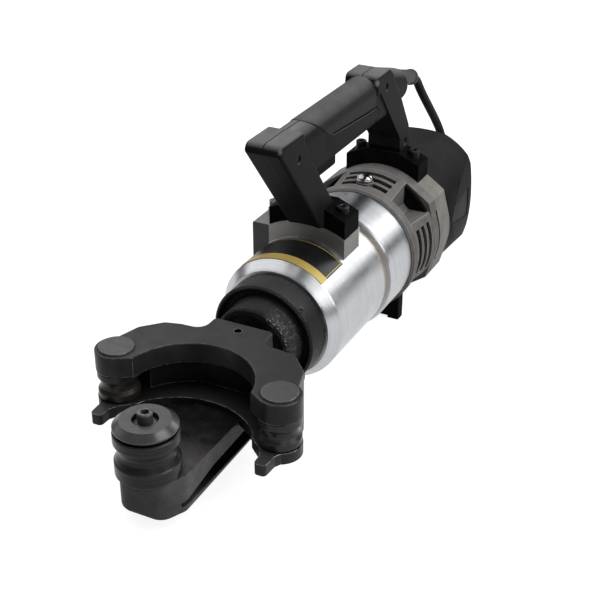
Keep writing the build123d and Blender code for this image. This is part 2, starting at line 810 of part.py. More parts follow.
def mandrel_cap():
    """Tapered cap over the roller, on a narrower neck, recessed round the pin."""
    low = MANDREL_TOP + SLIP
    cone = MANDREL_TOP + MANDREL_NECK
    top = cone + MANDREL_CAP
    profile = outline(
        (MANDREL_PIN_R + FIT, low),
        (MANDREL_NECK_R, low),
        (MANDREL_NECK_R, cone - EDGE),
        (MANDREL_R - EDGE / 2, cone - EDGE),
        (MANDREL_R - EDGE / 2, cone + EDGE / 2),
        (MANDREL_CAP_FLAT_R, top),
        (MANDREL_RECESS_R, top),
        (MANDREL_RECESS_R, top - MANDREL_RECESS),
        (MANDREL_PIN_R + FIT, top - MANDREL_RECESS),
    )
    return Pos(0, MANDREL_Y, 0) * revolve(Plane.XZ * profile, Axis.Z)


def mandrel_pin():
    """Pin with a narrower tip above its retaining ring."""
    cap_top = MANDREL_TOP + MANDREL_NECK + MANDREL_CAP
    top = cap_top + MANDREL_PIN_PROUD
    shoulder = cap_top - MANDREL_RECESS + RING_CLIP + SLIP
    tip = post(MANDREL_TIP_R, shoulder - 1, top, 0, MANDREL_Y)
    pin = post(MANDREL_PIN_R, BEAM_BOTTOM, shoulder, 0, MANDREL_Y)
    pin += chamfer(tip.edges().group_by(Axis.Z)[-1], EDGE)
    socket = along_z(RegularPolygon(MANDREL_SOCKET_R, 6), top - MANDREL_SOCKET, top + 1)
    return pin - Pos(0, MANDREL_Y, 0) * socket


def retaining_ring():
    """Open spring ring in the cap's recess."""
    floor = MANDREL_TOP + MANDREL_NECK + MANDREL_CAP - MANDREL_RECESS
    band = Circle(RING_CLIP_R) - Circle(MANDREL_PIN_R + FIT)
    band -= outline((0, 0), polar(2 * RING_CLIP_R, RING_GAP_FROM), polar(2 * RING_CLIP_R, RING_GAP_TO))
    return Pos(0, MANDREL_Y, 0) * along_z(band, floor, floor + RING_CLIP)


# Yoke

def yoke_plan():
    """Half plan of the upper plate, before its mouth is cut."""
    half = outline(
        (0, TANG_REAR),
        (TANG_HALF - TANG_BREAK, TANG_REAR),
        (TANG_HALF, TANG_REAR - TANG_BREAK),
        (TANG_HALF, TANG_ROOT),
        NECK_CORNER,
        (SHOULDER_X, SHOULDER_Y),
        (CHEEK_X, CHEEK_Y),
        CHEEK_END,
        (ROLLER_X, ROLLER_Y),
        (ROLLER_X - LUG_R, ROLLER_Y - YOKE_EDGE_R),
        (0, ROLLER_Y),
    )
    inner = [v for v in half.vertices() if abs(v.Y - TANG_ROOT) < 0.01]
    half = fillet(inner, TANG_FILLET)
    shoulder = [v for v in half.vertices() if abs(v.X - SHOULDER_X) < 0.01 or abs(v.X - CHEEK_X) < 0.01]
    return fillet(shoulder, SHOULDER_R)


def yoke():
    """Fork with an upper and a lower plate, a curved web between them, and a hub for the ram."""
    half = yoke_plan()
    lug = Pos(ROLLER_X, ROLLER_Y) * Circle(LUG_R) + outline((ROLLER_X, ROLLER_Y), *LUG_CORNERS)
    plan = both_sides(half) + both_sides(lug)
    mouth = Pos(0, YOKE_MOUTH_Y) * Circle(YOKE_MOUTH_R)
    upper = along_z(plan - mouth, YOKE_UNDER, YOKE_TOP)
    upper = fillet(upper.edges().group_by(Axis.Z)[-1], EDGE)
    ear = outline(*EAR_CORNERS, (ROLLER_X, ROLLER_Y))
    ear = fillet(ear.vertices().sort_by(Axis.Y)[:2], EAR_TIP_R)
    rear_trim = Pos(0, TANG_ROOT + SPAN / 2) * Rectangle(SPAN, SPAN)
    low_mouth = Pos(0, YOKE_LOW_MOUTH_Y) * Circle(YOKE_LOW_MOUTH_R)
    low_plan = ((plan - rear_trim) - low_mouth) + both_sides(ear)
    lower = along_z(low_plan, YOKE_BOTTOM, YOKE_LOW_TOP)
    web_cut = Pos(0, YOKE_MOUTH_Y) * Circle(YOKE_WEB_R)
    roller_room = both_sides(Pos(ROLLER_X, ROLLER_Y) * Circle(ROLLER_R + ROLLER_ROOM))
    front_cut = Pos(0, ROLLER_Y + LUG_R - SPAN / 2) * Rectangle(SPAN, SPAN)
    web_plan = (plan - rear_trim) - web_cut - roller_room - front_cut
    web = along_z(web_plan, YOKE_LOW_TOP, YOKE_UNDER)
    hub = block(-TANG_HALF, TANG_HALF, HUB_FRONT, TANG_REAR, YOKE_BOTTOM, YOKE_UNDER)
    hub = fillet(hub.edges().filter_by(Axis.Z).sort_by(Axis.Y)[-2:], TANG_BREAK)
    body = upper + lower + web + hub
    guide_half = BEAM_HALF + YOKE_GUIDE
    body -= block(-guide_half, guide_half, -SPAN, SPAN, YOKE_BOTTOM - 1, GUIDE_TOP)
    body -= rod_y(SPIGOT_R + FIT, TANG_REAR - SPIGOT - SLIP, TANG_REAR + 1)
    body -= post(LOCK_PIN_R, -YOKE_TOP, YOKE_TOP + 1, 0, LOCK_PIN_Y)
    for side in (-1, 1):
        body -= post(PIN_R, YOKE_BOTTOM - 1, YOKE_TOP + 1, side * ROLLER_X, ROLLER_Y)
    return body


def roller_pins():
    """Two headed pins through the yoke's lugs."""
    pin = post(PIN_R, YOKE_BOTTOM, YOKE_TOP) + post(PIN_HEAD_R, YOKE_TOP, YOKE_TOP + PIN_HEAD)
    pin = fillet(pin.edges().group_by(Axis.Z)[-1], PIN_HEAD_EDGE)
    return [Pos(side * ROLLER_X, ROLLER_Y, 0) * pin for side in (-1, 1)]


def side_roller(side):
    low = YOKE_LOW_TOP + ROLLER_END_GAP
    high = YOKE_UNDER - ROLLER_END_GAP
    middle = (low + high) / 2
    profile = outline(
        (PIN_R + FIT, low),
        (ROLLER_R - EDGE, low),
        (ROLLER_R, low + EDGE),
        (ROLLER_R, low + ROLLER_FLANGE),
        (ROLLER_WAIST_R + EDGE / 2, middle - ROLLER_WAIST / 2),
        (ROLLER_WAIST_R, middle),
        (ROLLER_WAIST_R + EDGE / 2, middle + ROLLER_WAIST / 2),
        (ROLLER_R, high - ROLLER_FLANGE),
        (ROLLER_R, high - EDGE),
        (ROLLER_R - EDGE, high),
        (PIN_R + FIT, high),
    )
    return Pos(side * ROLLER_X, ROLLER_Y, 0) * revolve(Plane.XZ * profile, Axis.Z)


def ram_lock_pin():
    return post(LOCK_PIN_R - FIT, -SPIGOT_R - 2, YOKE_TOP - LOCK_PIN_SUNK, 0, LOCK_PIN_Y)


# Ram and cylinder

def ram():
    """Hollow ram: spigot in the yoke's hub, rod through the bush, piston in the liner."""
    shoulder = TANG_REAR + FIT
    piston_end = PISTON_FRONT + PISTON
    body = turned(
        (0, shoulder - SPIGOT),
        (SPIGOT_R, shoulder - SPIGOT),
        (SPIGOT_R, shoulder),
        (ROD_R, shoulder),
        (ROD_R, PISTON_FRONT),
        (NOSE_BORE_R - FIT, PISTON_FRONT),
        (NOSE_BORE_R - FIT, piston_end),
        (ROD_BORE_R, piston_end),
        (ROD_BORE_R, ROD_BORE_FRONT),
        (0, ROD_BORE_FRONT),
    )
    body -= post(LOCK_PIN_R, -ROD_R, ROD_R, 0, LOCK_PIN_Y)
    return body + bar_x(SPRING_EYE_R, -ROD_BORE_R - 1, ROD_BORE_R + 1, SPRING_EYE_Y, 0)


def spring_place(turn):
    front = SPRING_EYE_Y + SPRING_EYE_R + SPRING_WIRE / 2 + SLIP
    back = PUMP_FRONT - SPRING_WIRE / 2 - SLIP
    share = turn / SPRING_TURNS
    return Vector(
        SPRING_R * cos(2 * pi * turn), front + (back - front) * share, SPRING_R * sin(2 * pi * turn)
    )


def return_spring():
    """Extension spring inside the hollow ram, pulling it back."""
    gap = least_self_gap(spring_place, SPRING_TURNS, SPRING_WIRE / 2)
    print("return spring gap to itself", round(gap, 2))
    stops = [i / 2 for i in range(2 * SPRING_TURNS + 1)]
    return tube(path_through(spring_place, stops), SPRING_WIRE / 2)


def gland_bush():
    return ring(NOSE_BORE_R - FIT, ROD_R + FIT, BUSH_FRONT, BUSH_REAR)


def cylinder_liner():
    return ring(LINER_R, NOSE_BORE_R, LINER_FRONT, PUMP_FRONT)


# Pump body

def pump_body():
    """Turned aluminium body with the square saddle that carries the handle's front bracket."""
    body = turned(
        (SLEEVE_R + FIT, BODY_FRONT),
        (BODY_FRONT_R - EDGE, BODY_FRONT),
        (BODY_FRONT_R, BODY_FRONT + EDGE),
        (BODY_CONE_R, BODY_CONE_END),
        (BODY_R, BODY_CONE_END + EDGE),
        (BODY_R, BODY_END - BODY_BREAK),
        (BODY_R - BODY_BREAK, BODY_END),
        (BODY_BORE_R, BODY_END),
        (BODY_BORE_R, BODY_STEP),
        (SLEEVE_R + FIT, BODY_STEP),
    )
    saddle = block(-SADDLE_HALF, SADDLE_HALF, SADDLE_FRONT, SADDLE_REAR, 0, SPAN)
    saddle &= rod_y(SADDLE_R, SADDLE_FRONT, SADDLE_REAR)
    saddle -= rod_y(BODY_R - BODY_WALL / 2, SADDLE_FRONT - 1, SADDLE_REAR + 1)
    for side in (-1, 1):
        saddle -= wing_hole(FRONT_WING_HALF, FRONT_WING_TOP, FRONT_BRACKET_MIDDLE, side)
    return body + saddle


def label_sheet(start, end):
    return sector(BODY_R, BODY_R + LABEL_THICK, 90 - LABEL_HALF_ANGLE, 90 + LABEL_HALF_ANGLE, start, end)


def valve_block():
    """Steel return-valve block on the left of the saddle."""
    body = block(
        -VALVE_BLOCK_OUT, -SADDLE_HALF, SADDLE_FRONT, SADDLE_REAR, VALVE_BLOCK_BOTTOM, VALVE_BLOCK_TOP
    )
    body -= rod_y(BODY_R, SADDLE_FRONT - 1, SADDLE_REAR + 1)
    body = chamfer(body.edges().filter_by(Axis.Y).sort_by(Axis.X)[0], EDGE)
    bore_floor = VALVE_BLOCK_TOP - VALVE_STEM
    return body - post(VALVE_STEM_R + FIT, bore_floor, VALVE_BLOCK_TOP + 1, VALVE_X, VALVE_Y)


def release_valve():
    """Return valve: threaded stem with a round flange and a hexagon head, on top of its block."""
    low = VALVE_BLOCK_TOP + VALVE_LIFT
    hex_low = low + VALVE_FLANGE
    valve = post(VALVE_STEM_R, VALVE_BLOCK_TOP - VALVE_STEM + SLIP, hex_low)
    valve += post(VALVE_FLANGE_R, low, hex_low)
    head = along_z(RegularPolygon(VALVE_HEX_R, 6), hex_low, hex_low + VALVE_HEX)
    valve += chamfer(head.edges().group_by(Axis.Z)[-1], EDGE)
    return Pos(VALVE_X, VALVE_Y, 0) * valve


def oil_bladder():
    """Rubber oil bladder: a thin sleeve with an end wall, between the liner and the body."""
    outer = BODY_BORE_R - FIT
    inner = LINER_R + FIT
    return turned(
        (inner, BLADDER_FRONT),
        (outer, BLADDER_FRONT),
        (outer, BLADDER_REAR),
        (outer - BLADDER_WALL, BLADDER_REAR),
        (outer - BLADDER_WALL, BLADDER_FRONT + BLADDER_WALL),
        (inner, BLADDER_FRONT + BLADDER_WALL),
    )


# Pump block, eccentric drive and gear case

def pump_block():
    """Steel pump block: it closes the cylinder, joins the two aluminium bodies and holds the plunger."""
    body = turned(
        (0, PUMP_FRONT),
        (BODY_BORE_R - FIT, PUMP_FRONT),
        (BODY_BORE_R - FIT, BODY_END),
        (PUMP_BAND_R, BODY_END),
        (PUMP_BAND_R, GEAR_CASE_FRONT),
        (CASE_BORE_R - FIT, GEAR_CASE_FRONT),
        (CASE_BORE_R - FIT, PUMP_REAR),
        (0, PUMP_REAR),
    )
    body -= rod_y(BEARING_R, PUMP_REAR - BEARING_WIDTH, PUMP_REAR + 1, 0, SHAFT_Z)
    body += block(
        -PLUNGER_BOSS_HALF,
        PLUNGER_BOSS_HALF,
        PUMP_REAR - 1,
        ECCENTRIC_END,
        LOBE_TOP + PLUNGER_BOSS_GAP,
        PLUNGER_TOP + PLUNGER_BOSS_ROOF,
    )
    body -= post(PLUNGER_R + FIT, LOBE_TOP - 1, PLUNGER_TOP + PLUNGER_ROOM, 0, ECCENTRIC_MIDDLE)
    hook = rod_y(SPRING_EYE_R, PUMP_FRONT - 3 * SPRING_EYE_R, PUMP_FRONT + 1)
    return body + hook


def pump_plunger():
    """Plunger resting on the eccentric at the top of its throw."""
    return post(PLUNGER_R, LOBE_TOP + FIT, PLUNGER_TOP, 0, ECCENTRIC_MIDDLE)


def eccentric_shaft():
    shaft = rod_y(SHAFT_R, PUMP_REAR - BEARING_WIDTH, BEARING_PLATE_END - 1, 0, SHAFT_Z)
    return shaft + rod_y(ECCENTRIC_R, ECCENTRIC_FRONT, ECCENTRIC_END, 0, SHAFT_Z + ECCENTRIC_THROW)


def reduction_gear():
    mesh_phase = 90 + 180 / GEAR_TEETH
    wheel = gear(GEAR_MODULE, GEAR_TEETH, GEAR_FRONT, GEAR_FRONT + GEAR_WIDTH, SHAFT_R + FIT, mesh_phase)
    return Pos(0, 0, SHAFT_Z) * wheel


def ball_bearing(start, z):
    """Ball bearing drawn as its two races and the closed ring of balls between them."""
    middle = (SHAFT_R + BEARING_R) / 2
    end = start + BEARING_WIDTH
    body = ring(BEARING_R - FIT, SHAFT_R + FIT, start, end)
    for low, high in ((start - 1, start + EDGE), (end - EDGE, end + 1)):
        body -= ring(middle + BEARING_GROOVE / 2, middle - BEARING_GROOVE / 2, low, high)
    return Pos(0, 0, z) * body


def shaft_bearings():
    rear = BEARING_PLATE_END - BEARING_WIDTH
    return [
        ball_bearing(PUMP_REAR - BEARING_WIDTH, SHAFT_Z),
        ball_bearing(rear, SHAFT_Z),
        ball_bearing(rear, 0),
        ball_bearing(REAR_BEARING_FRONT, 0),
    ]


def gear_case():
    return turned(
        (CASE_BORE_R, GEAR_CASE_FRONT),
        (GEAR_CASE_R - BODY_BREAK, GEAR_CASE_FRONT),
        (GEAR_CASE_R, GEAR_CASE_FRONT + BODY_BREAK),
        (GEAR_CASE_R, GEAR_CASE_END),
        (CASE_BORE_R, GEAR_CASE_END),
    )


def bearing_plate():
    """Plate between gear case and motor, with seats for the shaft's and the armature's bearings."""
    rear = BEARING_PLATE_END
    plate = rod_y(CASE_BORE_R - FIT, BEARING_PLATE_FRONT, rear)
    for z in (0, SHAFT_Z):
        plate -= rod_y(BEARING_R, rear - BEARING_WIDTH, rear + 1, 0, z)
        plate -= rod_y(SHAFT_R + 2.0, BEARING_PLATE_FRONT - 1, rear, 0, z)
    return plate


# Motor housing

def collar_section(inset):
    """Round section with four raised screw corners."""
    radius = COLLAR_R - inset
    corner = COLLAR_CORNER_R - inset
    spread = degrees(acos(radius / corner))
    section = Circle(radius)
    for angle in COLLAR_CORNERS:
        section += outline(
            (0, 0), polar(radius, angle - spread), polar(corner, angle), polar(radius, angle + spread)
        )
    return section


def cross_section(half):
    """A cross of two wide strips, which leaves the four corners open."""
    span = 4 * COLLAR_R
    return Rectangle(2 * half, span) + Rectangle(span, 2 * half)


def vent_housing():
    """Grey casting: front ring, four slotted pads with open corners between them, and the rear collar."""
    body = turned(
        (VENT_CAVITY_R, GEAR_CASE_END),
        (VENT_RING_R - VENT_BREAK, GEAR_CASE_END),
        (VENT_RING_R, GEAR_CASE_END + VENT_BREAK),
        (VENT_RING_R, VENT_RING_END - VENT_BREAK),
        (VENT_RING_R - VENT_BREAK, VENT_RING_END),
        (VENT_CORE_R, VENT_RING_END),
        (VENT_CORE_R, COLLAR_FRONT),
        (VENT_CAVITY_R, COLLAR_FRONT),
    )
    pad_front = VENT_RING_END - VENT_BREAK
    pads = turned(
        (VENT_CORE_R - 1, pad_front),
        (PAD_FRONT_R, pad_front),
        (PAD_REAR_R, PAD_END - PAD_FLAT),
        (PAD_REAR_R, COLLAR_FRONT),
        (VENT_CORE_R - 1, COLLAR_FRONT),
    )
    body += pads & along_y(cross_section(PAD_HALF), pad_front - 1, COLLAR_FRONT)
    body += along_y(collar_section(0) - Circle(HOUSING_BORE_R), COLLAR_FRONT, COLLAR_END)
    body += ring(HOUSING_BORE_R + 1, VENT_CAVITY_R, COLLAR_FRONT, COLLAR_FRONT + COLLAR_WALL)
    for turn in (0, 90, 180, 270):
        for i in range(VENT_SLOTS):
            start = VENT_RING_END + VENT_FIRST + i * VENT_PITCH
            body -= sector(
                VENT_CAVITY_R - 1,
                PAD_REAR_R + 1,
                turn - VENT_SLOT_HALF_ANGLE,
                turn + VENT_SLOT_HALF_ANGLE,
                start,
                start + VENT_SLOT,
            )
    slot_start = COLLAR_SLOT_Y - COLLAR_SLOT / 2
    collar_slot = sector(
        HOUSING_BORE_R - 1,
        COLLAR_CORNER_R + 1,
        COLLAR_SLOT_FROM,
        COLLAR_SLOT_TO,
        slot_start,
        slot_start + COLLAR_SLOT,
    )
    body -= both_sides(collar_slot)
    body += post(VENT_BOSS_R, VENT_CORE_R - 1, VENT_SEAT, 0, VENT_SCREW_Y)
    body -= post(VENT_SCREW_R, VENT_CAVITY_R - 1, VENT_SEAT + 1, 0, VENT_SCREW_Y)
    for x, z in corner_places(CORNER_SCREW_AT):
        body -= rod_y(CORNER_SCREW_R, COLLAR_FRONT - 1, COLLAR_FRONT + CORNER_SCREW_LONG, x, z)
    for side in (-1, 1):
        body -= post(FOOT_SCREW_R, FLOOR, FOOT_SCREW_TOP, side * FOOT_SCREW_X, FOOT_MIDDLE)
        body -= wing_hole(REAR_WING_HALF, REAR_WING_TOP, REAR_BRACKET_MIDDLE, side)
    return body


def vent_screw():
    """Pan-head cross-slot screw on top of the housing."""
    top = VENT_SEAT + VENT_SCREW_HEAD
    head = post(VENT_SCREW_HEAD_R, VENT_SEAT, top, 0, VENT_SCREW_Y)
    head = fillet(head.edges().group_by(Axis.Z)[-1], VENT_SCREW_DOME)
    cross = Rectangle(VENT_CROSS, VENT_CROSS_SLOT) + Rectangle(VENT_CROSS_SLOT, VENT_CROSS)
    cross = Rot(0, 0, VENT_CROSS_TURN) * cross
    head -= Pos(0, VENT_SCREW_Y, 0) * along_z(cross, top - VENT_CROSS_DEEP, top + 1)
    return head + post(VENT_SCREW_R - FIT, VENT_CAVITY_R + 1, VENT_SEAT, 0, VENT_SCREW_Y)


def corner_places(radius):
    return [polar(radius, angle) for angle in (45, 135, 225, 315)]


def corner_plates():
    """Black corner plates in front of the collar, seen through the open corners."""
    ring_sketch = Circle(CORNER_PLATE_R) - Circle(VENT_CORE_R + FIT) - cross_section(PAD_HALF + FIT)
    plates = along_y(ring_sketch, PAD_END, COLLAR_FRONT)
    for x, z in corner_places(CORNER_SCREW_AT):
        plates -= rod_y(CORNER_HEAD_R, PAD_END - 1, PAD_END + CORNER_HEAD_SINK + CORNER_HEAD, x, z)
        plates -= rod_y(CORNER_SCREW_R, PAD_END - 1, COLLAR_FRONT + 1, x, z)
    return list(plates.solids())


def corner_screws():
    """Screws sunk in the corner plates, holding the collar."""
    head_start = PAD_END + CORNER_HEAD_SINK
    head_end = head_start + CORNER_HEAD
    screws = []
    for x, z in corner_places(CORNER_SCREW_AT):
        screw = rod_y(CORNER_HEAD_R - FIT, head_start, head_end, x, z)
        screw += rod_y(CORNER_SCREW_R - FIT, head_end, COLLAR_FRONT + CORNER_SCREW_LONG - 1, x, z)
        screws.append(screw)
    return screws


# Motor

def armature_shaft():
    """Motor shaft with the pinion cut on its front end."""
    pinion = gear(GEAR_MODULE, PINION_TEETH, GEAR_FRONT - 1, BEARING_PLATE_FRONT - 1, 0, -90)
    shaft = rod_y(SHAFT_R, BEARING_PLATE_FRONT - 1, REAR_BEARING_FRONT + BEARING_WIDTH)
    return pinion + shaft + rod_y(ARMATURE_R, BEARING_PLATE_END + 1, REAR_BEARING_FRONT - 1)


def armature_core():
    section = Circle(CORE_R) - Circle(ARMATURE_R + FIT)
    for i in range(CORE_SLOTS):
        section -= Rot(0, 0, 360 * i / CORE_SLOTS) * Pos(CORE_R, 0) * Rectangle(2 * CORE_SLOT_DEEP, CORE_SLOT)
    return along_y(section, STATOR_FRONT, STATOR_REAR)


def commutator():
    section = Circle(COMMUTATOR_R) - Circle(ARMATURE_R + FIT)
    groove = Pos(COMMUTATOR_R, 0) * Rectangle(4 * COMMUTATOR_GROOVE, COMMUTATOR_GROOVE)
    for i in range(COMMUTATOR_BARS):
        section -= Rot(0, 0, 360 * i / COMMUTATOR_BARS) * groove
    return along_y(section, COMMUTATOR_FRONT, COMMUTATOR_REAR)


def cooling_fan():
    """Radial fan behind the vent slots."""
    fan = ring(FAN_HUB_R, ARMATURE_R + FIT, FAN_FRONT, FAN_REAR)
    fan += ring(FAN_R, FAN_HUB_R - 1, FAN_REAR - FAN_BLADE, FAN_REAR)
    half = FAN_BLADE / 2
    blade = outline((FAN_HUB_R - 1, -half), (FAN_R, -half), (FAN_R, half), (FAN_HUB_R - 1, half))
    for i in range(FAN_BLADES):
        fan += along_y(Rot(0, 0, 360 * i / FAN_BLADES) * blade, FAN_FRONT, FAN_REAR - 1)
    return fan


def stator():
    return ring(HOUSING_BORE_R - FIT, STATOR_BORE_R, STATOR_FRONT, STATOR_REAR)


def carbon_brushes():
    wide = BRUSH_WIDE / 2
    high = BRUSH_LONG / 2
    brush = block(COMMUTATOR_R + SLIP, BRUSH_END, BRUSH_Y - wide, BRUSH_Y + wide, -high, high)
    return [brush, mirror(brush, Plane.YZ)]


def brush_holders():
    """Square brush tubes between the commutator and the cap's side walls."""
    wide = BRUSH_WIDE / 2 + HOLDER_WALL
    high = BRUSH_LONG / 2 + HOLDER_WALL
    holder = block(HOLDER_START, CAP_REAR_R, BRUSH_Y - wide, BRUSH_Y + wide, -high, high)
    holder &= cap_form(CAP_WALL + PANEL_DEEP + FIT, COLLAR_END, CAP_END)
    channel = block(
        HOLDER_START - 1,
        BRUSH_END + HOLDER_WALL,
        BRUSH_Y - BRUSH_WIDE / 2 - FIT,
        BRUSH_Y + BRUSH_WIDE / 2 + FIT,
        -BRUSH_LONG / 2 - FIT,
        BRUSH_LONG / 2 + FIT,
    )
    holder -= channel
    return [holder, mirror(holder, Plane.YZ)]


# Motor cap

def cap_form(inset, start, end):
    """The cap's outside, or a form inset in it: flared and flat-topped, with curved sides drawn in."""
    body = turned(
        (0, start),
        (CAP_FRONT_R - inset, start),
        (CAP_REAR_R - inset, CAP_SHOULDER - inset / 2),
        (CAP_REAR_R - CAP_CHAMFER - inset, end),
        (0, end),
    )
    for side in (-1, 1):
        place = Pos(side * (CAP_SIDE_X - CAP_SIDE_R), CAP_SHOULDER, 0) * Rot(0, 0, side * CAP_SIDE_DRAFT)
        body &= place * rod_y(CAP_SIDE_R - inset, -SPAN, SPAN)
    tip = CAP_END_HALF + CAP_END - end - inset * sqrt(2)
    wide = CAP_REAR_R + CAP_WALL
    knee = end - (wide - tip)
    plan = outline((-wide, start), (wide, start), (wide, knee), (tip, end), (-tip, end), (-wide, knee))
    return body & along_z(plan, CAP_BOTTOM + inset, CAP_TOP - inset)


def panel_outline(grow):
    """The side panel's four-cornered outline, grown all round."""
    panel = outline(PANEL_LOW_FRONT, PANEL_TOP_FRONT, PANEL_TOP_REAR, PANEL_LOW_REAR)
    return offset(panel, grow, kind=Kind.INTERSECTION) if grow else panel


def motor_cap():
    """Plastic motor cap with a tapered rear, side panel recesses, air intake and a bearing seat."""
    cavity = cap_form(CAP_WALL, COLLAR_END - 1, CAP_END - CAP_WALL)
    backing = both_sides(along_x(panel_outline(PANEL_BACKING), HOLDER_START, CAP_REAR_R))
    cavity -= backing - cap_form(CAP_WALL + PANEL_DEEP, COLLAR_END - 1, CAP_END)
    cap = cap_form(0, COLLAR_END, CAP_END) - cavity
    recess = both_sides(along_x(panel_outline(0), HOLDER_START, CAP_REAR_R))
    cap -= recess - cap_form(PANEL_DEEP, COLLAR_END - 1, CAP_END)
    cap += ring(BEARING_R + CAP_WALL, BEARING_R, REAR_BEARING_FRONT, CAP_END - CAP_WALL / 2)
    half = CAP_INTAKE_WIDTH / 2
    for i in range(CAP_INTAKE_SLOTS):
        x = (i - (CAP_INTAKE_SLOTS - 1) / 2) * CAP_INTAKE_PITCH
        for side in (-1, 1):
            low, high = sorted((side * CAP_INTAKE_LOW, side * CAP_INTAKE_HIGH))
            cap -= block(x - half, x + half, CAP_END - 2 * CAP_WALL, CAP_END + 1, low, high)
    return cap


def cap_panels():
    panel = along_x(panel_outline(-PANEL_GAP), HOLDER_START, CAP_REAR_R)
    panel &= cap_form(PANEL_SUNK, COLLAR_END, CAP_END)
    panel -= cap_form(PANEL_DEEP, COLLAR_END - 1, CAP_END)
    return [panel, mirror(panel, Plane.YZ)]


# Support foot

def support_foot():
    """Saddle foot under the front ring, standing on two pads."""
    section = outline(
        (-FOOT_HALF, FLOOR),
        (-FOOT_HALF + FOOT_PAD, FLOOR),
        (-FOOT_HALF + FOOT_PAD, FLOOR + FOOT_RELIEF),
        (FOOT_HALF - FOOT_PAD, FLOOR + FOOT_RELIEF),
        (FOOT_HALF - FOOT_PAD, FLOOR),
        (FOOT_HALF, FLOOR),
        (FOOT_HALF, FOOT_TOP),
        (-FOOT_HALF, FOOT_TOP),
    )
    foot = along_y(section - Circle(VENT_RING_R + FIT), FOOT_FRONT, FOOT_FRONT + FOOT_PLATE)
    for side in (-1, 1):
        foot -= post(FOOT_SCREW_R, FLOOR - 1, FOOT_TOP, side * FOOT_SCREW_X, FOOT_MIDDLE)
        foot -= post(FOOT_HEAD_R, FLOOR - 1, FOOT_HEAD_TOP, side * FOOT_SCREW_X, FOOT_MIDDLE)
    return foot


def foot_screws():
    screw = post(FOOT_SCREW_R - FIT, FOOT_HEAD_TOP, FOOT_SCREW_TOP - 1)
    screw += post(FOOT_HEAD_R - FIT, FOOT_HEAD_TOP - FOOT_HEAD, FOOT_HEAD_TOP)
    return [Pos(side * FOOT_SCREW_X, FOOT_MIDDLE, 0) * screw for side in (-1, 1)]


# Handle brackets

def wing_place(half, top, station, side):
    """Where an upright wing screw's head seats, on a flat cut into the sloping wing."""
    rise = (half - WING_SCREW_X - WING_SEAT_R) * WING_RISE
    return Pos(side * WING_SCREW_X, station, top + rise - WING_SEAT_DEEP)


def wing_hole(half, top, station, side):
    hole = post(WING_SCREW_R, -WING_SCREW_LONG, 1) + post(WING_SEAT_R, 0, WING_SCREW_LONG)
    return wing_place(half, top, station, side) * hole


def bracket(half, top, start, end, seat_section, tongue):
    """Foot block with two sloping wings on a round seat, and a tongue that goes up into the handle."""
    crest = top + (half - HANDLE_HALF) * WING_RISE
    flat = HANDLE_HALF
    section = outline((-half, 0), (half, 0), (half, top), (flat, crest), (-flat, crest), (-half, top))
    body = along_y(section - seat_section, start, end)
    edges = body.edges().filter_by(Axis.Y).group_by(Axis.Z)[-2]
    body = fillet(edges, EDGE)
    body += along_x(tongue, -TONGUE_HALF, TONGUE_HALF)
    for side in (-1, 1):
        body -= wing_hole(half, top, (start + end) / 2, side)
    return body


def leg_rear(z, inset):
    """Rear edge of the raked front leg at a height, moved inwards by inset."""
    lean = (LEG_REAR_LOW_Y - LEG_REAR_HIGH_Y) / (LEG_REAR_HIGH_Z - LEG_REAR_LOW_Z)
    return LEG_REAR_LOW_Y - (z - LEG_REAR_LOW_Z) * lean - inset * sqrt(1 + lean * lean)


def front_bracket():
    low = FRONT_WING_TOP
    high = FRONT_CREST + TONGUE_HIGH
    rear_low = leg_rear(low, SHELL_WALL + SLIP)
    rear_high = leg_rear(high, SHELL_WALL + SLIP)
    tongue = outline(
        (FRONT_BRACKET_FRONT + 1, low),
        (rear_low, low),
        (rear_high, high),
        (rear_high - TONGUE_LONG, high),
    )
    return bracket(
        FRONT_WING_HALF,
        FRONT_WING_TOP,
        FRONT_BRACKET_FRONT,
        FRONT_BRACKET_REAR,
        Circle(SADDLE_R + FIT),
        tongue,
    )


def rear_bracket():
    low = REAR_WING_TOP
    high = REAR_CREST + TONGUE_HIGH
    inset = SHELL_WALL + SLIP
    front = REAR_LEG_FRONT_Y + inset
    low_back = REAR_LEG_BACK_LOW_Y - inset
    tongue = outline((front, low), (low_back, low), (REAR_LEG_BACK_Y - inset, high), (front, high))
    body = bracket(
        REAR_WING_HALF,
        REAR_WING_TOP,
        REAR_BRACKET_FRONT,
        REAR_BRACKET_REAR,
        collar_section(-FIT),
        tongue,
    )
    return body - bar_x(HANDLE_SCREW_R, -HANDLE_HALF, HANDLE_HALF, *HANDLE_SCREWS[-1])


def bracket_screws():
    screw = socket_screw(WING_SCREW_HEAD_R, WING_SCREW_HEAD, WING_SCREW_R - FIT, WING_SCREW_LONG - 1)
    places = (
        (FRONT_WING_HALF, FRONT_WING_TOP, FRONT_BRACKET_MIDDLE),
        (REAR_WING_HALF, REAR_WING_TOP, REAR_BRACKET_MIDDLE),
    )
    return [wing_place(*place, side) * screw for place in places for side in (-1, 1)]


# Handle

def grip_section(inset):
    half = GRIP_HALF - inset
    low = GRIP_BOTTOM + inset
    high = GRIP_TOP - inset
    section = outline((-half, low), (half, low), (half, high), (-half, high))
    section = fillet(section.vertices().sort_by(Axis.Y)[-2:], GRIP_CROWN - inset)
    return fillet(section.vertices().sort_by(Axis.Y)[:2], GRIP_EDGE - inset)


def front_leg_outline():
    leg = outline(
        (LEG_FOOT_Y, LEG_FOOT_Z),
        (LEG_HEAD_Y, LEG_HEAD_Z),
        (LEG_HEAD_Y, HANDLE_TOP),
        (BLOCK_END, HANDLE_TOP),
        (LEG_REAR_HIGH_Y, LEG_REAR_HIGH_Z),
        (LEG_REAR_LOW_Y, LEG_REAR_LOW_Z),
        (LEG_REAR_LOW_Y, LEG_FOOT_Z),
    )
    return fillet(vertex_at(leg, LEG_HEAD_Y, HANDLE_TOP), LEG_TOP_R)


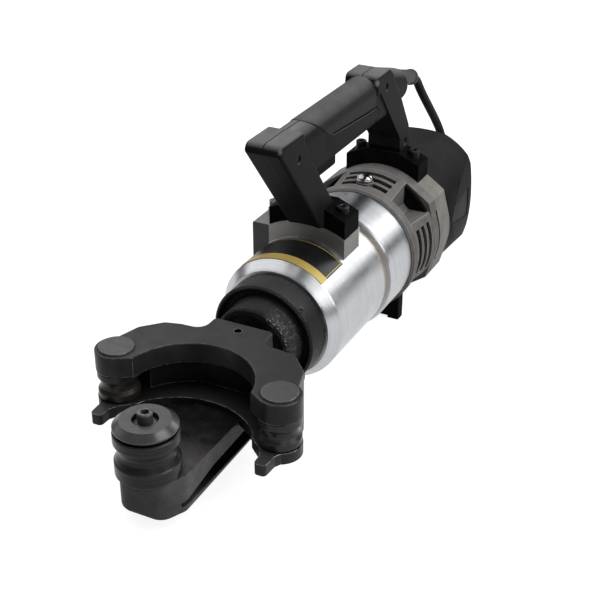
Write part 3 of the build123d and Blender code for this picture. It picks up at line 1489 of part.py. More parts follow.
def rear_leg_outline():
    leg = outline(
        (REAR_LEG_HEAD_Y, REAR_LEG_HEAD_Z),
        (REAR_LEG_FRONT_Y, REAR_LEG_FRONT_Z),
        (REAR_LEG_FRONT_Y, REAR_CREST),
        (REAR_LEG_BACK_LOW_Y, REAR_CREST),
        (REAR_LEG_BACK_Y, REAR_LEG_BACK_Z),
        (REAR_LEG_ARM_Y, REAR_LEG_ARM_Z),
        (FLANGE_END, REAR_LEG_HEAD_Z),
    )
    return fillet(vertex_at(leg, REAR_LEG_FRONT_Y, REAR_CREST), REAR_LEG_FOOT_R)


def cover_outline(grow):
    rear = FLANGE_FRONT - SEAM + grow
    return outline(
        (COVER_FRONT_TOP - grow, GRIP_TOP + 1),
        (COVER_FRONT_LOW - grow, COVER_LINE_FRONT - grow),
        (rear, COVER_LINE_REAR - grow),
        (rear, GRIP_TOP + 1),
    )


def cover_shell(outer, inner):
    """Skin of the grip between two depths, over the length of its cover."""
    return along_y(grip_section(outer) - grip_section(inner), COVER_FRONT_TOP - 1, FLANGE_FRONT)


def rounded_sides(solid, limit):
    """Rounds a handle block's side edges in front of a station."""
    edges = solid.edges().filter_by(Axis.X, reverse=True)
    return fillet([edge for edge in edges if edge.center().Y < limit], HANDLE_EDGE)


def flange_block():
    """Square-topped block behind the grip."""
    side = outline(
        (FLANGE_FRONT, FLANGE_LOW),
        (FLANGE_FRONT, FLANGE_TOP),
        (FLANGE_BEVEL_Y, FLANGE_TOP),
        (FLANGE_END, FLANGE_BEVEL_Z),
        (FLANGE_END, FLANGE_LOW),
    )
    side = fillet(vertex_at(side, FLANGE_FRONT, FLANGE_TOP), FLANGE_TOP_R)
    return rounded_sides(along_x(side, -HANDLE_HALF, HANDLE_HALF), FLANGE_BEVEL_Y)


def stub(radius, start, end, rise):
    """A round bar along the sloping cord exit, rise above its centre line."""
    lean = Pos(0, STUB_START_Y, STUB_START_Z) * Rot(-STUB_SLOPE, 0, 0)
    return lean * rod_y(radius, start, end, 0, rise)


def handle_body():
    """Both handle halves together: raked legs, rounded grip, rear flange block and cord stub."""
    body = along_y(grip_section(0), GRIP_START, GRIP_END)
    body += rounded_sides(along_x(front_leg_outline(), -HANDLE_HALF, HANDLE_HALF), BLOCK_END)
    body += along_x(rear_leg_outline(), -HANDLE_HALF, HANDLE_HALF)
    body += flange_block()
    round_end = stub(STUB_R, 0, STUB_LENGTH, 0)
    round_end = fillet(round_end.edges().sort_by(Axis.Y)[-1:], STUB_DOME)
    body += round_end
    inner = HANDLE_HALF - SHELL_WALL
    cavity = along_y(grip_section(SHELL_WALL), BLOCK_END, CAVITY_END)
    cavity += along_x(offset(front_leg_outline(), -SHELL_WALL), -inner, inner)
    cavity += along_x(offset(rear_leg_outline(), -SHELL_WALL), -inner, inner)
    body -= cavity
    for y, z in HANDLE_SCREWS[:2]:
        body += bar_x(HANDLE_BOSS_R, -inner - 1, inner + 1, y, z)
    for y, z in HANDLE_SCREWS:
        body -= bar_x(HANDLE_SCREW_R, -HANDLE_HALF + HANDLE_SCREW_SINK, HANDLE_HALF, y, z)
        body -= bar_x(HANDLE_HEAD_R, HANDLE_HALF - HANDLE_SCREW_SINK, HANDLE_HALF + 1, y, z)
    body -= cover_shell(-1, COVER_THICK) & along_x(cover_outline(SEAM), -HANDLE_HALF - 1, HANDLE_HALF + 1)
    body -= block(
        -TRIGGER_HALF - SLIP,
        TRIGGER_HALF + SLIP,
        TRIGGER_FRONT - SLIP,
        TRIGGER_REAR + SLIP,
        TRIGGER_BOTTOM,
        GRIP_BOTTOM + SHELL_WALL + 1,
    )
    body -= stub(RELIEF_ROOT_R + FIT, STUB_LENGTH - RELIEF_SUNK, STUB_LENGTH + 1, RELIEF_RISE)
    body -= stub(CORD_R, CORD_CHANNEL, STUB_LENGTH - 1, RELIEF_RISE)
    body -= front_bracket()
    body -= rear_bracket()
    body -= rod_y(SADDLE_R + FIT, LEG_HEAD_Y, GRIP_END)
    return body


def handle_half(whole, side):
    far = 4 * HANDLE_HALF
    x0, x1 = sorted((0, side * far))
    half = whole & block(x0, x1, LEG_HEAD_Y - far, CAP_END, 0, HANDLE_TOP + far)
    return max(half.solids(), key=lambda solid: solid.volume)


def grip_cover():
    """Soft cover over the top of the grip."""
    return cover_shell(0, COVER_THICK - FIT) & along_x(cover_outline(0), -HANDLE_HALF - 1, HANDLE_HALF + 1)


def handle_screws():
    head_start = HANDLE_HALF - HANDLE_SCREW_SINK
    screw = bar_x(HANDLE_SCREW_R - FIT, 1 - head_start, head_start)
    screw += bar_x(HANDLE_HEAD_R - FIT, head_start, head_start + HANDLE_HEAD)
    return [Pos(0, y, z) * screw for y, z in HANDLE_SCREWS]


# Trigger and switch

def trigger():
    """Trigger bar under the grip, held by a lip inside the shell."""
    bar = block(-TRIGGER_HALF, TRIGGER_HALF, TRIGGER_FRONT, TRIGGER_REAR, TRIGGER_BOTTOM, TRIGGER_TOP)
    bar = fillet(bar.edges().group_by(Axis.Z)[0], HANDLE_EDGE)
    lip_low = GRIP_BOTTOM + SHELL_WALL + SLIP
    lip = block(
        -TRIGGER_HALF - TRIGGER_LIP,
        TRIGGER_HALF + TRIGGER_LIP,
        TRIGGER_FRONT - TRIGGER_LIP,
        TRIGGER_REAR + TRIGGER_LIP,
        lip_low,
        TRIGGER_TOP,
    )
    return bar + lip


def trigger_switch():
    """Switch body inside the grip, with its plunger above the trigger."""
    half = GRIP_HALF - SHELL_WALL - FIT
    rear = SWITCH_FRONT + SWITCH_LONG
    body = block(-half, half, SWITCH_FRONT, rear, SWITCH_LOW, SWITCH_LOW + SWITCH_HIGH)
    trigger_limit = TRIGGER_TOP + TRIGGER_TRAVEL + SLIP
    return body + post(SWITCH_STEM_R, trigger_limit, SWITCH_LOW + 1, 0, TRIGGER_MIDDLE)


def trigger_spring_place(turn):
    low = TRIGGER_TOP + TRIGGER_SPRING_WIRE / 2 + FIT
    high = SWITCH_LOW - TRIGGER_SPRING_WIRE / 2 - FIT
    x, y = polar(TRIGGER_SPRING_R, 360 * turn)
    return Vector(x, TRIGGER_MIDDLE + y, low + (high - low) * turn / TRIGGER_SPRING_TURNS)


def trigger_spring():
    gap = least_self_gap(trigger_spring_place, TRIGGER_SPRING_TURNS, TRIGGER_SPRING_WIRE / 2)
    print("trigger spring gap to itself", round(gap, 2))
    stops = [i / 2 for i in range(2 * TRIGGER_SPRING_TURNS + 1)]
    return tube(path_through(trigger_spring_place, stops), TRIGGER_SPRING_WIRE / 2)


# Strain relief, mains cord, coil and plug

def strain_relief():
    """Tapered rubber sleeve with a rim at its end, sunk in the handle's stub."""
    sleeve = turned(
        (0, 0),
        (RELIEF_ROOT_R, 0),
        (RELIEF_ROOT_R, RELIEF_TAPER_FROM),
        (RELIEF_R, RELIEF_TAPER_TO),
        (RELIEF_R, RELIEF_LENGTH - RELIEF_RIM),
        (RELIEF_RIM_R, RELIEF_LENGTH - RELIEF_RIM),
        (RELIEF_RIM_R, RELIEF_LENGTH),
        (0, RELIEF_LENGTH),
    )
    return Pos(0, *RELIEF_START) * Rot(-STUB_SLOPE, 0, 0) * sleeve


def coil_place(turn):
    """A point of the coil: in along the floor, up a layer, and out again on top."""
    radius = COIL_IN_R + COIL_PITCH * abs(turn - COIL_REVERSE)
    climb = min(max(2 * (turn - COIL_REVERSE) + 0.5, 0.0), 1.0)
    lift = COIL_LAYER * (1 - cos(pi * climb)) / 2
    x, y = polar(radius, COIL_START_ANGLE + 360 * turn)
    return Vector(COIL_X + x, COIL_Y + y, COIL_LOW_Z + lift)


def run_through(points):
    """Straight runs with tangent arcs as large as their runs allow."""
    sizes = []
    for before, here, after in zip(points, points[1:], points[2:]):
        shorter = min((here - before).length, (after - here).length)
        turn = radians((here - before).get_angle(after - here))
        sizes.append(ARC_SHARE * shorter / tan(turn / 2))
    return FilletPolyline(*points, radius=sizes), sizes


def cord_points():
    """The run from the strain relief down to the coil."""
    return [Vector(*place) for place in (CORD_EXIT, CORD_LEAD, *CORD_POINTS)] + [coil_place(0)]


def free_cord(points, name):
    path, sizes = run_through(points)
    solid = tube(path, CORD_R)
    expected = pi * CORD_R ** 2 * path.length
    print(name, "length", round(path.length, 1), "radii", [round(size, 1) for size in sizes])
    print(name, "volume share", round(solid.volume / expected, 4))
    return solid


def cord_coil():
    """Put-away length: one unbroken tube wound in two layers."""
    path = path_through(coil_place, [i / 4 for i in range(int(4 * COIL_TURNS) + 1)])
    gap = least_self_gap(coil_place, COIL_TURNS, CORD_R)
    print("coil length", round(path.length, 1), "gap to itself", round(gap, 2))
    return tube(path, CORD_R)


def tail_points():
    """The run from the coil's end down to the plug."""
    last = coil_place(COIL_TURNS)
    return [last] + [last + Vector(*step) for step in TAIL_STEPS]


def cord_tie():
    """Band round the coil's stacked turns."""
    near = COIL_IN_R + COIL_PITCH * TIE_TURN - CORD_R - TIE_GAP
    far = COIL_OUT_R - COIL_PITCH * TIE_TURN + CORD_R + TIE_GAP
    low = FLOOR + TIE_THICK
    high = COIL_LOW_Z + COIL_LAYER + CORD_R + TIE_GAP
    inner = outline((near, low), (far, low), (far, high), (near, high))
    outer = offset(inner, TIE_THICK, kind=Kind.INTERSECTION)
    band = along_y(outer - inner, -TIE_WIDE / 2, TIE_WIDE / 2)
    return Pos(COIL_X, COIL_Y, 0) * Rot(0, 0, TIE_ANGLE) * band


def plug_frame():
    """Where the plug lies: on the floor at the end of the tail, in line with it."""
    before, end = tail_points()[-2:]
    run = end - before
    return Pos(end.X, end.Y, PLUG_Z) * Rot(0, 0, degrees(atan2(run.X, -run.Y)))


def mains_plug():
    """Moulded plug with a tapered nose towards the cord."""
    nose = along_y(Circle(CORD_R + PLUG_NOSE_WALL), -PLUG_NOSE, 0)
    section = RectangleRounded(2 * PLUG_HALF, PLUG_HIGH, PLUG_CORNER_R)
    body = along_y(section, -PLUG_NOSE - PLUG_LONG, -PLUG_NOSE + PLUG_NOSE_SUNK)
    body = chamfer(body.edges().group_by(Axis.Y)[-1], PLUG_NOSE_WALL)
    return plug_frame() * (nose + body)


def plug_pins():
    face = -PLUG_NOSE - PLUG_LONG
    pin = rod_y(PLUG_PIN_R, face - PLUG_PIN_LONG, face)
    pin = fillet(pin.edges().group_by(Axis.Y)[0], PLUG_PIN_TIP_R)
    return [plug_frame() * Pos(side * PLUG_PIN_SPACING / 2, 0, 0) * pin for side in (-1, 1)]


# Finished frame

def seat(shape):
    return Pos(0, -MID_Y, AXIS_HEIGHT) * shape


def save(name, shape):
    """Write one piece, or a group of separate pieces, in the finished frame."""
    solids = shape if isinstance(shape, list) else shape.solids()
    placed = [seat(solid) for solid in solids]
    export_step(placed[0] if len(placed) == 1 else Compound(children=placed), f"parts/{name}.step")


def all_pieces():
    """Every piece under its node name."""
    handle = handle_body()
    return {
        "front_frame": front_frame(),
        "frame_set_screw": frame_set_screw(),
        "mandrel_roller": mandrel_roller(),
        "mandrel_cap": mandrel_cap(),
        "mandrel_pin": mandrel_pin(),
        "retaining_ring": retaining_ring(),
        "yoke": yoke(),
        "roller_pins": roller_pins(),
        "left_roller": side_roller(-1),
        "right_roller": side_roller(1),
        "ram_lock_pin": ram_lock_pin(),
        "ram": ram(),
        "return_spring": return_spring(),
        "gland_bush": gland_bush(),
        "cylinder_liner": cylinder_liner(),
        "pump_body": pump_body(),
        "nameplate": label_sheet(LABEL_FRONT, LABEL_REAR),
        "nameplate_strip": label_sheet(STRIP_FRONT, LABEL_FRONT),
        "valve_block": valve_block(),
        "release_valve": release_valve(),
        "oil_bladder": oil_bladder(),
        "pump_block": pump_block(),
        "pump_plunger": pump_plunger(),
        "eccentric_shaft": eccentric_shaft(),
        "reduction_gear": reduction_gear(),
        "shaft_bearings": shaft_bearings(),
        "gear_case": gear_case(),
        "bearing_plate": bearing_plate(),
        "vent_housing": vent_housing(),
        "vent_screw": vent_screw(),
        "corner_plates": corner_plates(),
        "corner_screws": corner_screws(),
        "armature_shaft": armature_shaft(),
        "armature_core": armature_core(),
        "commutator": commutator(),
        "cooling_fan": cooling_fan(),
        "stator": stator(),
        "carbon_brushes": carbon_brushes(),
        "brush_holders": brush_holders(),
        "motor_cap": motor_cap(),
        "cap_panels": cap_panels(),
        "support_foot": support_foot(),
        "foot_screws": foot_screws(),
        "front_bracket": front_bracket(),
        "rear_bracket": rear_bracket(),
        "bracket_screws": bracket_screws(),
        "handle_left": handle_half(handle, -1),
        "handle_right": handle_half(handle, 1),
        "grip_cover": grip_cover(),
        "handle_screws": handle_screws(),
        "trigger": trigger(),
        "trigger_switch": trigger_switch(),
        "trigger_spring": trigger_spring(),
        "strain_relief": strain_relief(),
        "mains_cord": free_cord(cord_points(), "mains cord"),
        "cord_coil": cord_coil(),
        "cord_tail": free_cord(tail_points(), "cord tail"),
        "cord_tie": cord_tie(),
        "mains_plug": mains_plug(),
        "plug_pins": plug_pins(),
    }


os.makedirs("parts", exist_ok=True)
for node, form in all_pieces().items():
    save(node, form)
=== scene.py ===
"""Looks for the hydraulic bar bender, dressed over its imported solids."""
import json
from math import cos, hypot, pi, radians, sin

import bpy
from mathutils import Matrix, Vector


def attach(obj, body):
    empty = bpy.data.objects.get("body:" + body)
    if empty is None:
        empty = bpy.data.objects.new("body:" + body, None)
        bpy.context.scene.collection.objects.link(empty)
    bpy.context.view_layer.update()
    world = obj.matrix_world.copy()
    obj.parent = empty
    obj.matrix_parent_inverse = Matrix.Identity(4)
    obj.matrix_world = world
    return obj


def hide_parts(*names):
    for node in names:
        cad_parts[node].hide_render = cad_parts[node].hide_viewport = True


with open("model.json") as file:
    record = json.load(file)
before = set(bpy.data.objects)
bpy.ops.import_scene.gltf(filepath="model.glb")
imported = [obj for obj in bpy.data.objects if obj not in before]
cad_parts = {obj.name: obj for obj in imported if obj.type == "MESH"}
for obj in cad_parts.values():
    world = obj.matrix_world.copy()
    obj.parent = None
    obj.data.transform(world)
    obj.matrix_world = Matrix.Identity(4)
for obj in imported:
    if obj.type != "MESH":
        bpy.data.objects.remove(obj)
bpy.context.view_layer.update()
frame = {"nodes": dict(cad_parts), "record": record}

NODES = frame["nodes"]
MM = 0.001
AXIS_Z = 0.0595
MID_Y = 0.09055


def at(x, y, z):
    """A point given in mm from the machine's axis, in the shared frame."""
    return Vector((x * MM, y * MM - MID_Y, z * MM + AXIS_Z))


def grey(value):
    return (value, value, value)


def scaled(tone, share):
    return tuple(share * c for c in tone)


# Camera

CAMERA_PLACE = (0.3835, -0.76735, 0.5296)
CAMERA_DIP = 28.9684
CAMERA_SWING = 26.8838

camera = bpy.data.objects.new("camera", bpy.data.cameras.new("camera"))
camera.data.lens = 73.11
camera.data.sensor_width = 36.0
camera.location = CAMERA_PLACE
camera.rotation_euler = (radians(90 - CAMERA_DIP), 0, radians(CAMERA_SWING))
bpy.context.collection.objects.link(camera)
bpy.context.scene.camera = camera


# Light: large soft boxes right and left, two small ones behind for glints, a weak fill in front

LIGHT_AIM = Vector((0, 0, 0.08))


def soft_box(name, place, size, watts):
    data = bpy.data.lights.new(name, "AREA")
    data.shape = "RECTANGLE"
    data.size, data.size_y = size
    data.energy = watts
    lamp = bpy.data.objects.new(name, data)
    lamp.location = place
    lamp.rotation_euler = (Vector(place) - LIGHT_AIM).to_track_quat("Z", "Y").to_euler()
    lamp.visible_camera = False
    bpy.context.collection.objects.link(lamp)


soft_box("box_right", place=(0.95, 0.05, 0.85), size=(0.7, 1.3), watts=15)
soft_box("box_left", place=(-0.62, 0.10, 1.00), size=(1.6, 2.0), watts=16)
soft_box("box_rear", place=(0.617, 1.10, 0.555), size=(0.6, 0.42), watts=2.9)
soft_box("box_high", place=(0.36, 1.14, 0.80), size=(0.7, 0.5), watts=2.2)
soft_box("fill_front", place=(1.05, -0.95, 0.75), size=(0.8, 0.6), watts=3.6)


# Node trees

class Nodes:
    """A node tree, put together node by node."""

    def __init__(self, tree):
        self.tree = tree

    def add(self, kind, inputs=None, **settings):
        node = self.tree.nodes.new(kind)
        for key, value in settings.items():
            setattr(node, key, value)
        for key, value in (inputs or {}).items():
            self.feed(node.inputs[key], value)
        return node

    def feed(self, socket, value):
        if isinstance(value, bpy.types.NodeSocket):
            self.tree.links.new(value, socket)
        else:
            socket.default_value = value

    def math(self, operation, a, b=0.0, clamp=False):
        return self.add("ShaderNodeMath", {0: a, 1: b}, operation=operation, use_clamp=clamp).outputs[0]

    def times(self, a, b):
        return self.math("MULTIPLY", a, b)


# World: a grey studio that lights the machine, white where the camera sees it

SKY_LOW = (0.30, 0.30, 0.31, 1)
SKY_HIGH = (0.42, 0.43, 0.44, 1)
SKY_HIGH_RISE = 0.9
SKY_STRENGTH = 0.45
WHITE = (1, 1, 1, 1)


def studio():
    world = bpy.data.worlds.new("studio")
    world.use_nodes = True
    sky = Nodes(world.node_tree)
    direction = sky.add("ShaderNodeTexCoord").outputs["Generated"]
    height = sky.add("ShaderNodeSeparateXYZ", {0: direction}).outputs["Z"]
    shade = sky.add("ShaderNodeValToRGB", {0: height})
    low, high = shade.color_ramp.elements
    low.position = 0.0
    low.color = SKY_LOW
    high.position = SKY_HIGH_RISE
    high.color = SKY_HIGH
    light = sky.tree.nodes["Background"]
    sky.feed(light.inputs["Color"], shade.outputs[0])
    sky.feed(light.inputs["Strength"], SKY_STRENGTH)
    backdrop = sky.add("ShaderNodeBackground", {"Color": WHITE, "Strength": 1.0})
    straight = sky.add("ShaderNodeLightPath").outputs["Is Camera Ray"]
    choice = sky.add("ShaderNodeMixShader", {0: straight, 1: light.outputs[0], 2: backdrop.outputs[0]})
    sky.feed(sky.tree.nodes["World Output"].inputs["Surface"], choice.outputs[0])
    return world


bpy.context.scene.world = studio()


# Materials

SOCKETS = {
    "metal": "Metallic",
    "level": "Specular IOR Level",
    "anisotropy": "Anisotropic",
    "sheen": "Sheen Weight",
}
NOISE_LOW, NOISE_HIGH = 0.3, 0.7
FLAT_DOT, SHARP_DOT = 0.995, 0.90
SAMPLES = 6


class Look(Nodes):
    """A procedural material. Sizes given to it are in mm; the coordinates in its sockets are in metres."""

    def __init__(self, name, **sockets):
        self.material = bpy.data.materials.new(name)
        self.material.use_nodes = True
        super().__init__(self.material.node_tree)
        self.shader = self.tree.nodes["Principled BSDF"]
        for key, value in sockets.items():
            self.shader.inputs[SOCKETS[key]].default_value = value

    def vector(self, operation, a, b=None):
        inputs = {0: a} if b is None else {0: a, 1: b}
        return self.add("ShaderNodeVectorMath", inputs, operation=operation).outputs

    def place(self, centre=(0, 0, 0)):
        spot = self.add("ShaderNodeTexCoord").outputs["Object"]
        return self.vector("SUBTRACT", spot, centre)[0]

    def parts(self, centre=(0, 0, 0)):
        """The three coordinates from centre."""
        return self.add("ShaderNodeSeparateXYZ", {0: self.place(centre)}).outputs

    def distance(self, centre):
        return self.vector("LENGTH", self.place(centre))["Value"]

    def noise(self, size, stretch=(1, 1, 1), detail=3.0, rough=0.55, spot=None):
        """Noise whose blotches are about size mm across, longer where stretch is above 1."""
        scale = [1 / (size * MM * s) for s in stretch]
        spot = self.vector("MULTIPLY", spot or self.place(), scale)[0]
        inputs = {"Vector": spot, "Scale": 1.0, "Detail": detail, "Roughness": rough}
        return self.add("ShaderNodeTexNoise", inputs).outputs["Fac"]

    def radius(self, centre, axis):
        """(distance from an axis through centre, way along it)."""
        spot = self.place(centre)
        flat = [0 if i == axis else 1 for i in range(3)]
        across = self.vector("MULTIPLY", spot, flat)[0]
        radius = self.vector("LENGTH", across)["Value"]
        return radius, self.add("ShaderNodeSeparateXYZ", {0: spot}).outputs[axis]

    def rings(self, size, centre, axis):
        """Fine lathe marks round an axis through centre, size mm apart."""
        radius, along = self.radius(centre, axis)
        pair = self.add("ShaderNodeCombineXYZ", {0: radius, 1: along}).outputs[0]
        return self.noise(size, detail=2.0, spot=pair)

    def normal(self):
        return self.add("ShaderNodeNewGeometry").outputs["Normal"]

    def across_rings(self, centre, axis):
        """The direction on the surface that runs square to the lathe marks."""
        way = [1 if i == axis else 0 for i in range(3)]
        round_way = self.vector("CROSS_PRODUCT", way, self.place(centre))[0]
        across = self.vector("CROSS_PRODUCT", round_way, self.normal())[0]
        return self.vector("NORMALIZE", across)[0]

    def span(self, value, low, high, to_low=0.0, to_high=1.0):
        """Stretches a value's range low to high onto another range, and clips it there."""
        node = self.add("ShaderNodeMapRange", {0: value, 1: low, 2: high, 3: to_low, 4: to_high})
        return node.outputs[0]

    def spread(self, noise, to_low=0.0, to_high=1.0):
        """Stretches the range that a noise mostly keeps to onto another range."""
        return self.span(noise, NOISE_LOW, NOISE_HIGH, to_low, to_high)

    def cloud(self, size, detail=4):
        """Soft blotches from 0 to 1, about size mm across."""
        return self.spread(self.noise(size, detail=detail))

    def fade(self, length, none, full):
        """0 where a length is none mm, 1 where it is full mm."""
        return self.span(length, none * MM, full * MM)

    def between(self, length, low, high, soft):
        """1 from low to high mm, falling to 0 over soft mm outside them."""
        return self.times(self.fade(length, low - soft, low), self.fade(length, high + soft, high))

    def mix(self, share, a, b):
        node = self.add("ShaderNodeMix", data_type="RGBA")
        self.feed(node.inputs["Factor"], share)
        for socket, tone in ((node.inputs[6], a), (node.inputs[7], b)):
            self.feed(socket, tone if isinstance(tone, bpy.types.NodeSocket) else (*tone, 1))
        return node.outputs[2]

    def lay(self, colour, mask, share, tone):
        """Lays a tone over a colour, by share where the mask is 1."""
        return self.mix(self.times(mask, share), colour, tone)

    def edge(self, radius):
        """(rounded normal, mask of the edges) within radius mm of an edge."""
        rounded = self.add("ShaderNodeBevel", {"Radius": radius * MM}, samples=SAMPLES).outputs[0]
        same = self.vector("DOT_PRODUCT", rounded, self.normal())["Value"]
        return rounded, self.span(same, FLAT_DOT, SHARP_DOT)

    def lit_from_above(self, low=0.5, high=0.97):
        """1 on faces that look up, in blotches: the mask for painted light from above on top faces."""
        rise = self.add("ShaderNodeSeparateXYZ", {0: self.normal()}).outputs["Z"]
        blotches = self.span(self.noise(9, detail=4), 0.2, 0.6, to_low=0.8)
        return self.times(self.span(rise, low, high), blotches)

    def shaded_hollows(self, reach, low, high):
        """1 in corners and hollows within reach mm: the mask for painted shade there."""
        inputs = {"Distance": reach * MM}
        open_air = self.add("ShaderNodeAmbientOcclusion", inputs, samples=SAMPLES).outputs["AO"]
        return self.span(open_air, high, low)

    def finish(self, colour, rough, height, depth, normal=None):
        """Links up the shader, with bumps depth mm high on top of the normal."""
        bump = self.add("ShaderNodeBump", {"Height": height, "Distance": depth * MM, "Strength": 1.0})
        if normal is not None:
            self.feed(bump.inputs["Normal"], normal)
        self.feed(self.shader.inputs["Base Color"], colour)
        self.feed(self.shader.inputs["Roughness"], rough)
        self.feed(self.shader.inputs["Normal"], bump.outputs[0])
        return self.material


X, Y, Z = 0, 1, 2
AXIS = (0, 0, AXIS_Z)
ORIGIN = tuple(at(0, 0, 0))
MANDREL = tuple(at(0, -141.4, 0))
LEFT_ROLLER = tuple(at(-65.2, -78.5, 0))
RIGHT_ROLLER = tuple(at(65.2, -78.5, 0))
BLACK = grey(0.002)


# Dark steels

ROLLER_EDGE = (0.20, 0.20, 0.21)


def dark_steel(
    name, low, high, rough, wear_and_glint, blotch=14, grain=0.9, depth=0.05, level=0.1, shade=0.0, top=None
):
    """Blackened steel: cloudy tone, fine grain, bright edges (wear, partly painted glints), painted top
    light, painted shade in hollows.
    """
    look = Look(name, metal=0.3, level=level)
    cloud = look.cloud(blotch, detail=5)
    fine = look.noise(grain, detail=3)
    normal, edges = look.edge(0.9)
    rubbed = look.times(edges, look.span(look.noise(4, detail=4), 0.38, 0.58))
    colour = look.mix(cloud, low, high)
    # Painted light: faces that look up take the paler top tone.
    if top:
        colour = look.mix(look.lit_from_above(), colour, look.mix(cloud, scaled(top, 0.8), top))
    # Bright edges: rubbed wear, and in part painted glints.
    colour = look.lay(colour, rubbed, 0.8, wear_and_glint)
    # Painted shade in the hollows.
    if shade:
        colour = look.lay(colour, look.shaded_hollows(32, 0.35, 0.85), shade, BLACK)
    dull = look.span(cloud, 0, 1, rough + 0.06, rough - 0.05)
    gloss = look.math("SUBTRACT", dull, look.times(rubbed, 0.12))
    return look.finish(colour, gloss, fine, depth, normal)


def turned_steel(name, centre, low, high, rough, level=0.12):
    """Dark roller steel with lathe marks round its own axis."""
    look = Look(name, metal=0.4, level=level)
    marks = look.rings(0.7, centre, Z)
    normal, edges = look.edge(0.7)
    colour = look.mix(look.span(marks, 0.35, 0.65), low, high)
    colour = look.lay(colour, edges, 0.4, ROLLER_EDGE)
    # Painted shade in the hollows.
    colour = look.lay(colour, look.shaded_hollows(12, 0.3, 0.8), 0.85, BLACK)
    gloss = look.span(look.cloud(7), 0, 1, rough - 0.05, rough + 0.07)
    return look.finish(colour, gloss, marks, 0.03, normal)


# Black casting of the front frame

CAST_DARK = (0.054, 0.054, 0.055)
CAST_PALE = (0.086, 0.086, 0.088)
CAST_WORN = (0.16, 0.16, 0.17)
NOSE_DARK = grey(0.003)
NOSE_LIT_TOP = grey(0.026)
NOSE_PAINTED_SHEEN = grey(0.045)
GLINT_TONE = grey(0.55)
RUST = (0.060, 0.032, 0.020)
NOSE_NONE, NOSE_FULL = -6, 0
UNDER_YOKE = (-98, -12)
UNDER_YOKE_SOFT = 26
RUST_PLACE = (6, -128, -18.5)
RUST_NONE, RUST_FULL = 40, 12
LIT_SIDE = (17, 30)
LIT_SIDE_SOFT = 7
COLLAR_LIP = (26.6, 30.4)
COLLAR_LIP_SOFT = 0.8
COLLAR_SHEEN = (26.6, 32.5)
COLLAR_SHEEN_SOFT = 1.4
NOSE_RIM = (37.2, 42.5)
NOSE_RIM_SOFT = 0.6


def cast_black():
    """Rough casting: pitted skin, worn edges, rust by the mandrel; painted glints and sheen on the nose's lit
    right side, painted top light, the yoke's painted shadow, painted shade in hollows.
    """
    look = Look("frame_cast", metal=0.1, level=0.04)
    coarse = look.noise(3.2, detail=5, rough=0.65)
    pits = look.noise(1.1, detail=2)
    height = look.math("ADD", coarse, look.times(pits, 0.5))
    normal, edges = look.edge(1.0)
    radius, along = look.radius(ORIGIN, Y)

    colour = look.mix(look.span(look.noise(16, detail=4), 0.32, 0.68), CAST_DARK, CAST_PALE)
    nose = look.fade(along, NOSE_NONE, NOSE_FULL)
    # Nose ring in its own darker tone, with painted light on its upward faces.
    colour = look.lay(colour, nose, 0.8, look.mix(look.lit_from_above(), NOSE_DARK, NOSE_LIT_TOP))
    # Painted shadow of the yoke on the upward faces beneath it.
    shaded = look.times(look.between(along, *UNDER_YOKE, UNDER_YOKE_SOFT), look.lit_from_above())
    colour = look.lay(colour, shaded, 0.92, BLACK)
    near = look.fade(look.distance(at(*RUST_PLACE)), RUST_NONE, RUST_FULL)
    rust = look.times(near, look.span(look.noise(5, detail=5), 0.48, 0.66))
    colour = look.lay(colour, rust, 0.5, RUST)

    worn = look.times(edges, look.span(look.noise(2.4, detail=4), 0.46, 0.60))
    # Painted glints and a painted sheen on the lit right side of the nose's lips and rim.
    lit = look.times(nose, look.between(look.parts()[X], *LIT_SIDE, LIT_SIDE_SOFT))
    collar = look.times(look.between(radius, *COLLAR_LIP, COLLAR_LIP_SOFT), lit)
    sheen = look.times(look.between(radius, *COLLAR_SHEEN, COLLAR_SHEEN_SOFT), lit)
    rim = look.times(look.between(radius, *NOSE_RIM, NOSE_RIM_SOFT), lit)
    shown = look.math("ADD", collar, look.times(rim, edges), clamp=True)
    shown = look.math("ADD", shown, look.times(sheen, 0.2), clamp=True)
    glints = look.span(look.noise(1.2, (1, 3, 1), detail=4, rough=0.7), 0.51, 0.70)
    glints = look.times(glints, shown)
    colour = look.lay(colour, worn, 0.6, CAST_WORN)
    colour = look.lay(colour, sheen, 0.35, NOSE_PAINTED_SHEEN)
    colour = look.mix(glints, colour, GLINT_TONE)
    # Painted shade in the hollows.
    colour = look.lay(colour, look.shaded_hollows(40, 0.3, 0.85), 0.75, BLACK)
    gloss = look.math("SUBTRACT", look.spread(coarse, 0.50, 0.36), look.times(glints, 0.12))
    return look.finish(colour, gloss, height, 0.22, normal)


# Turned aluminium of the body

TURNED_DARK = (0.38, 0.39, 0.405)
TURNED_PALE = (0.51, 0.52, 0.535)
TURNED_BAND = (0.29, 0.30, 0.31)
SADDLE = (0.205, 0.202, 0.195)
SADDLE_R_NONE, SADDLE_R_FULL = 51.3, 51.7
SADDLE_Y = (89.35, 116.55)
SADDLE_SOFT = 0.3


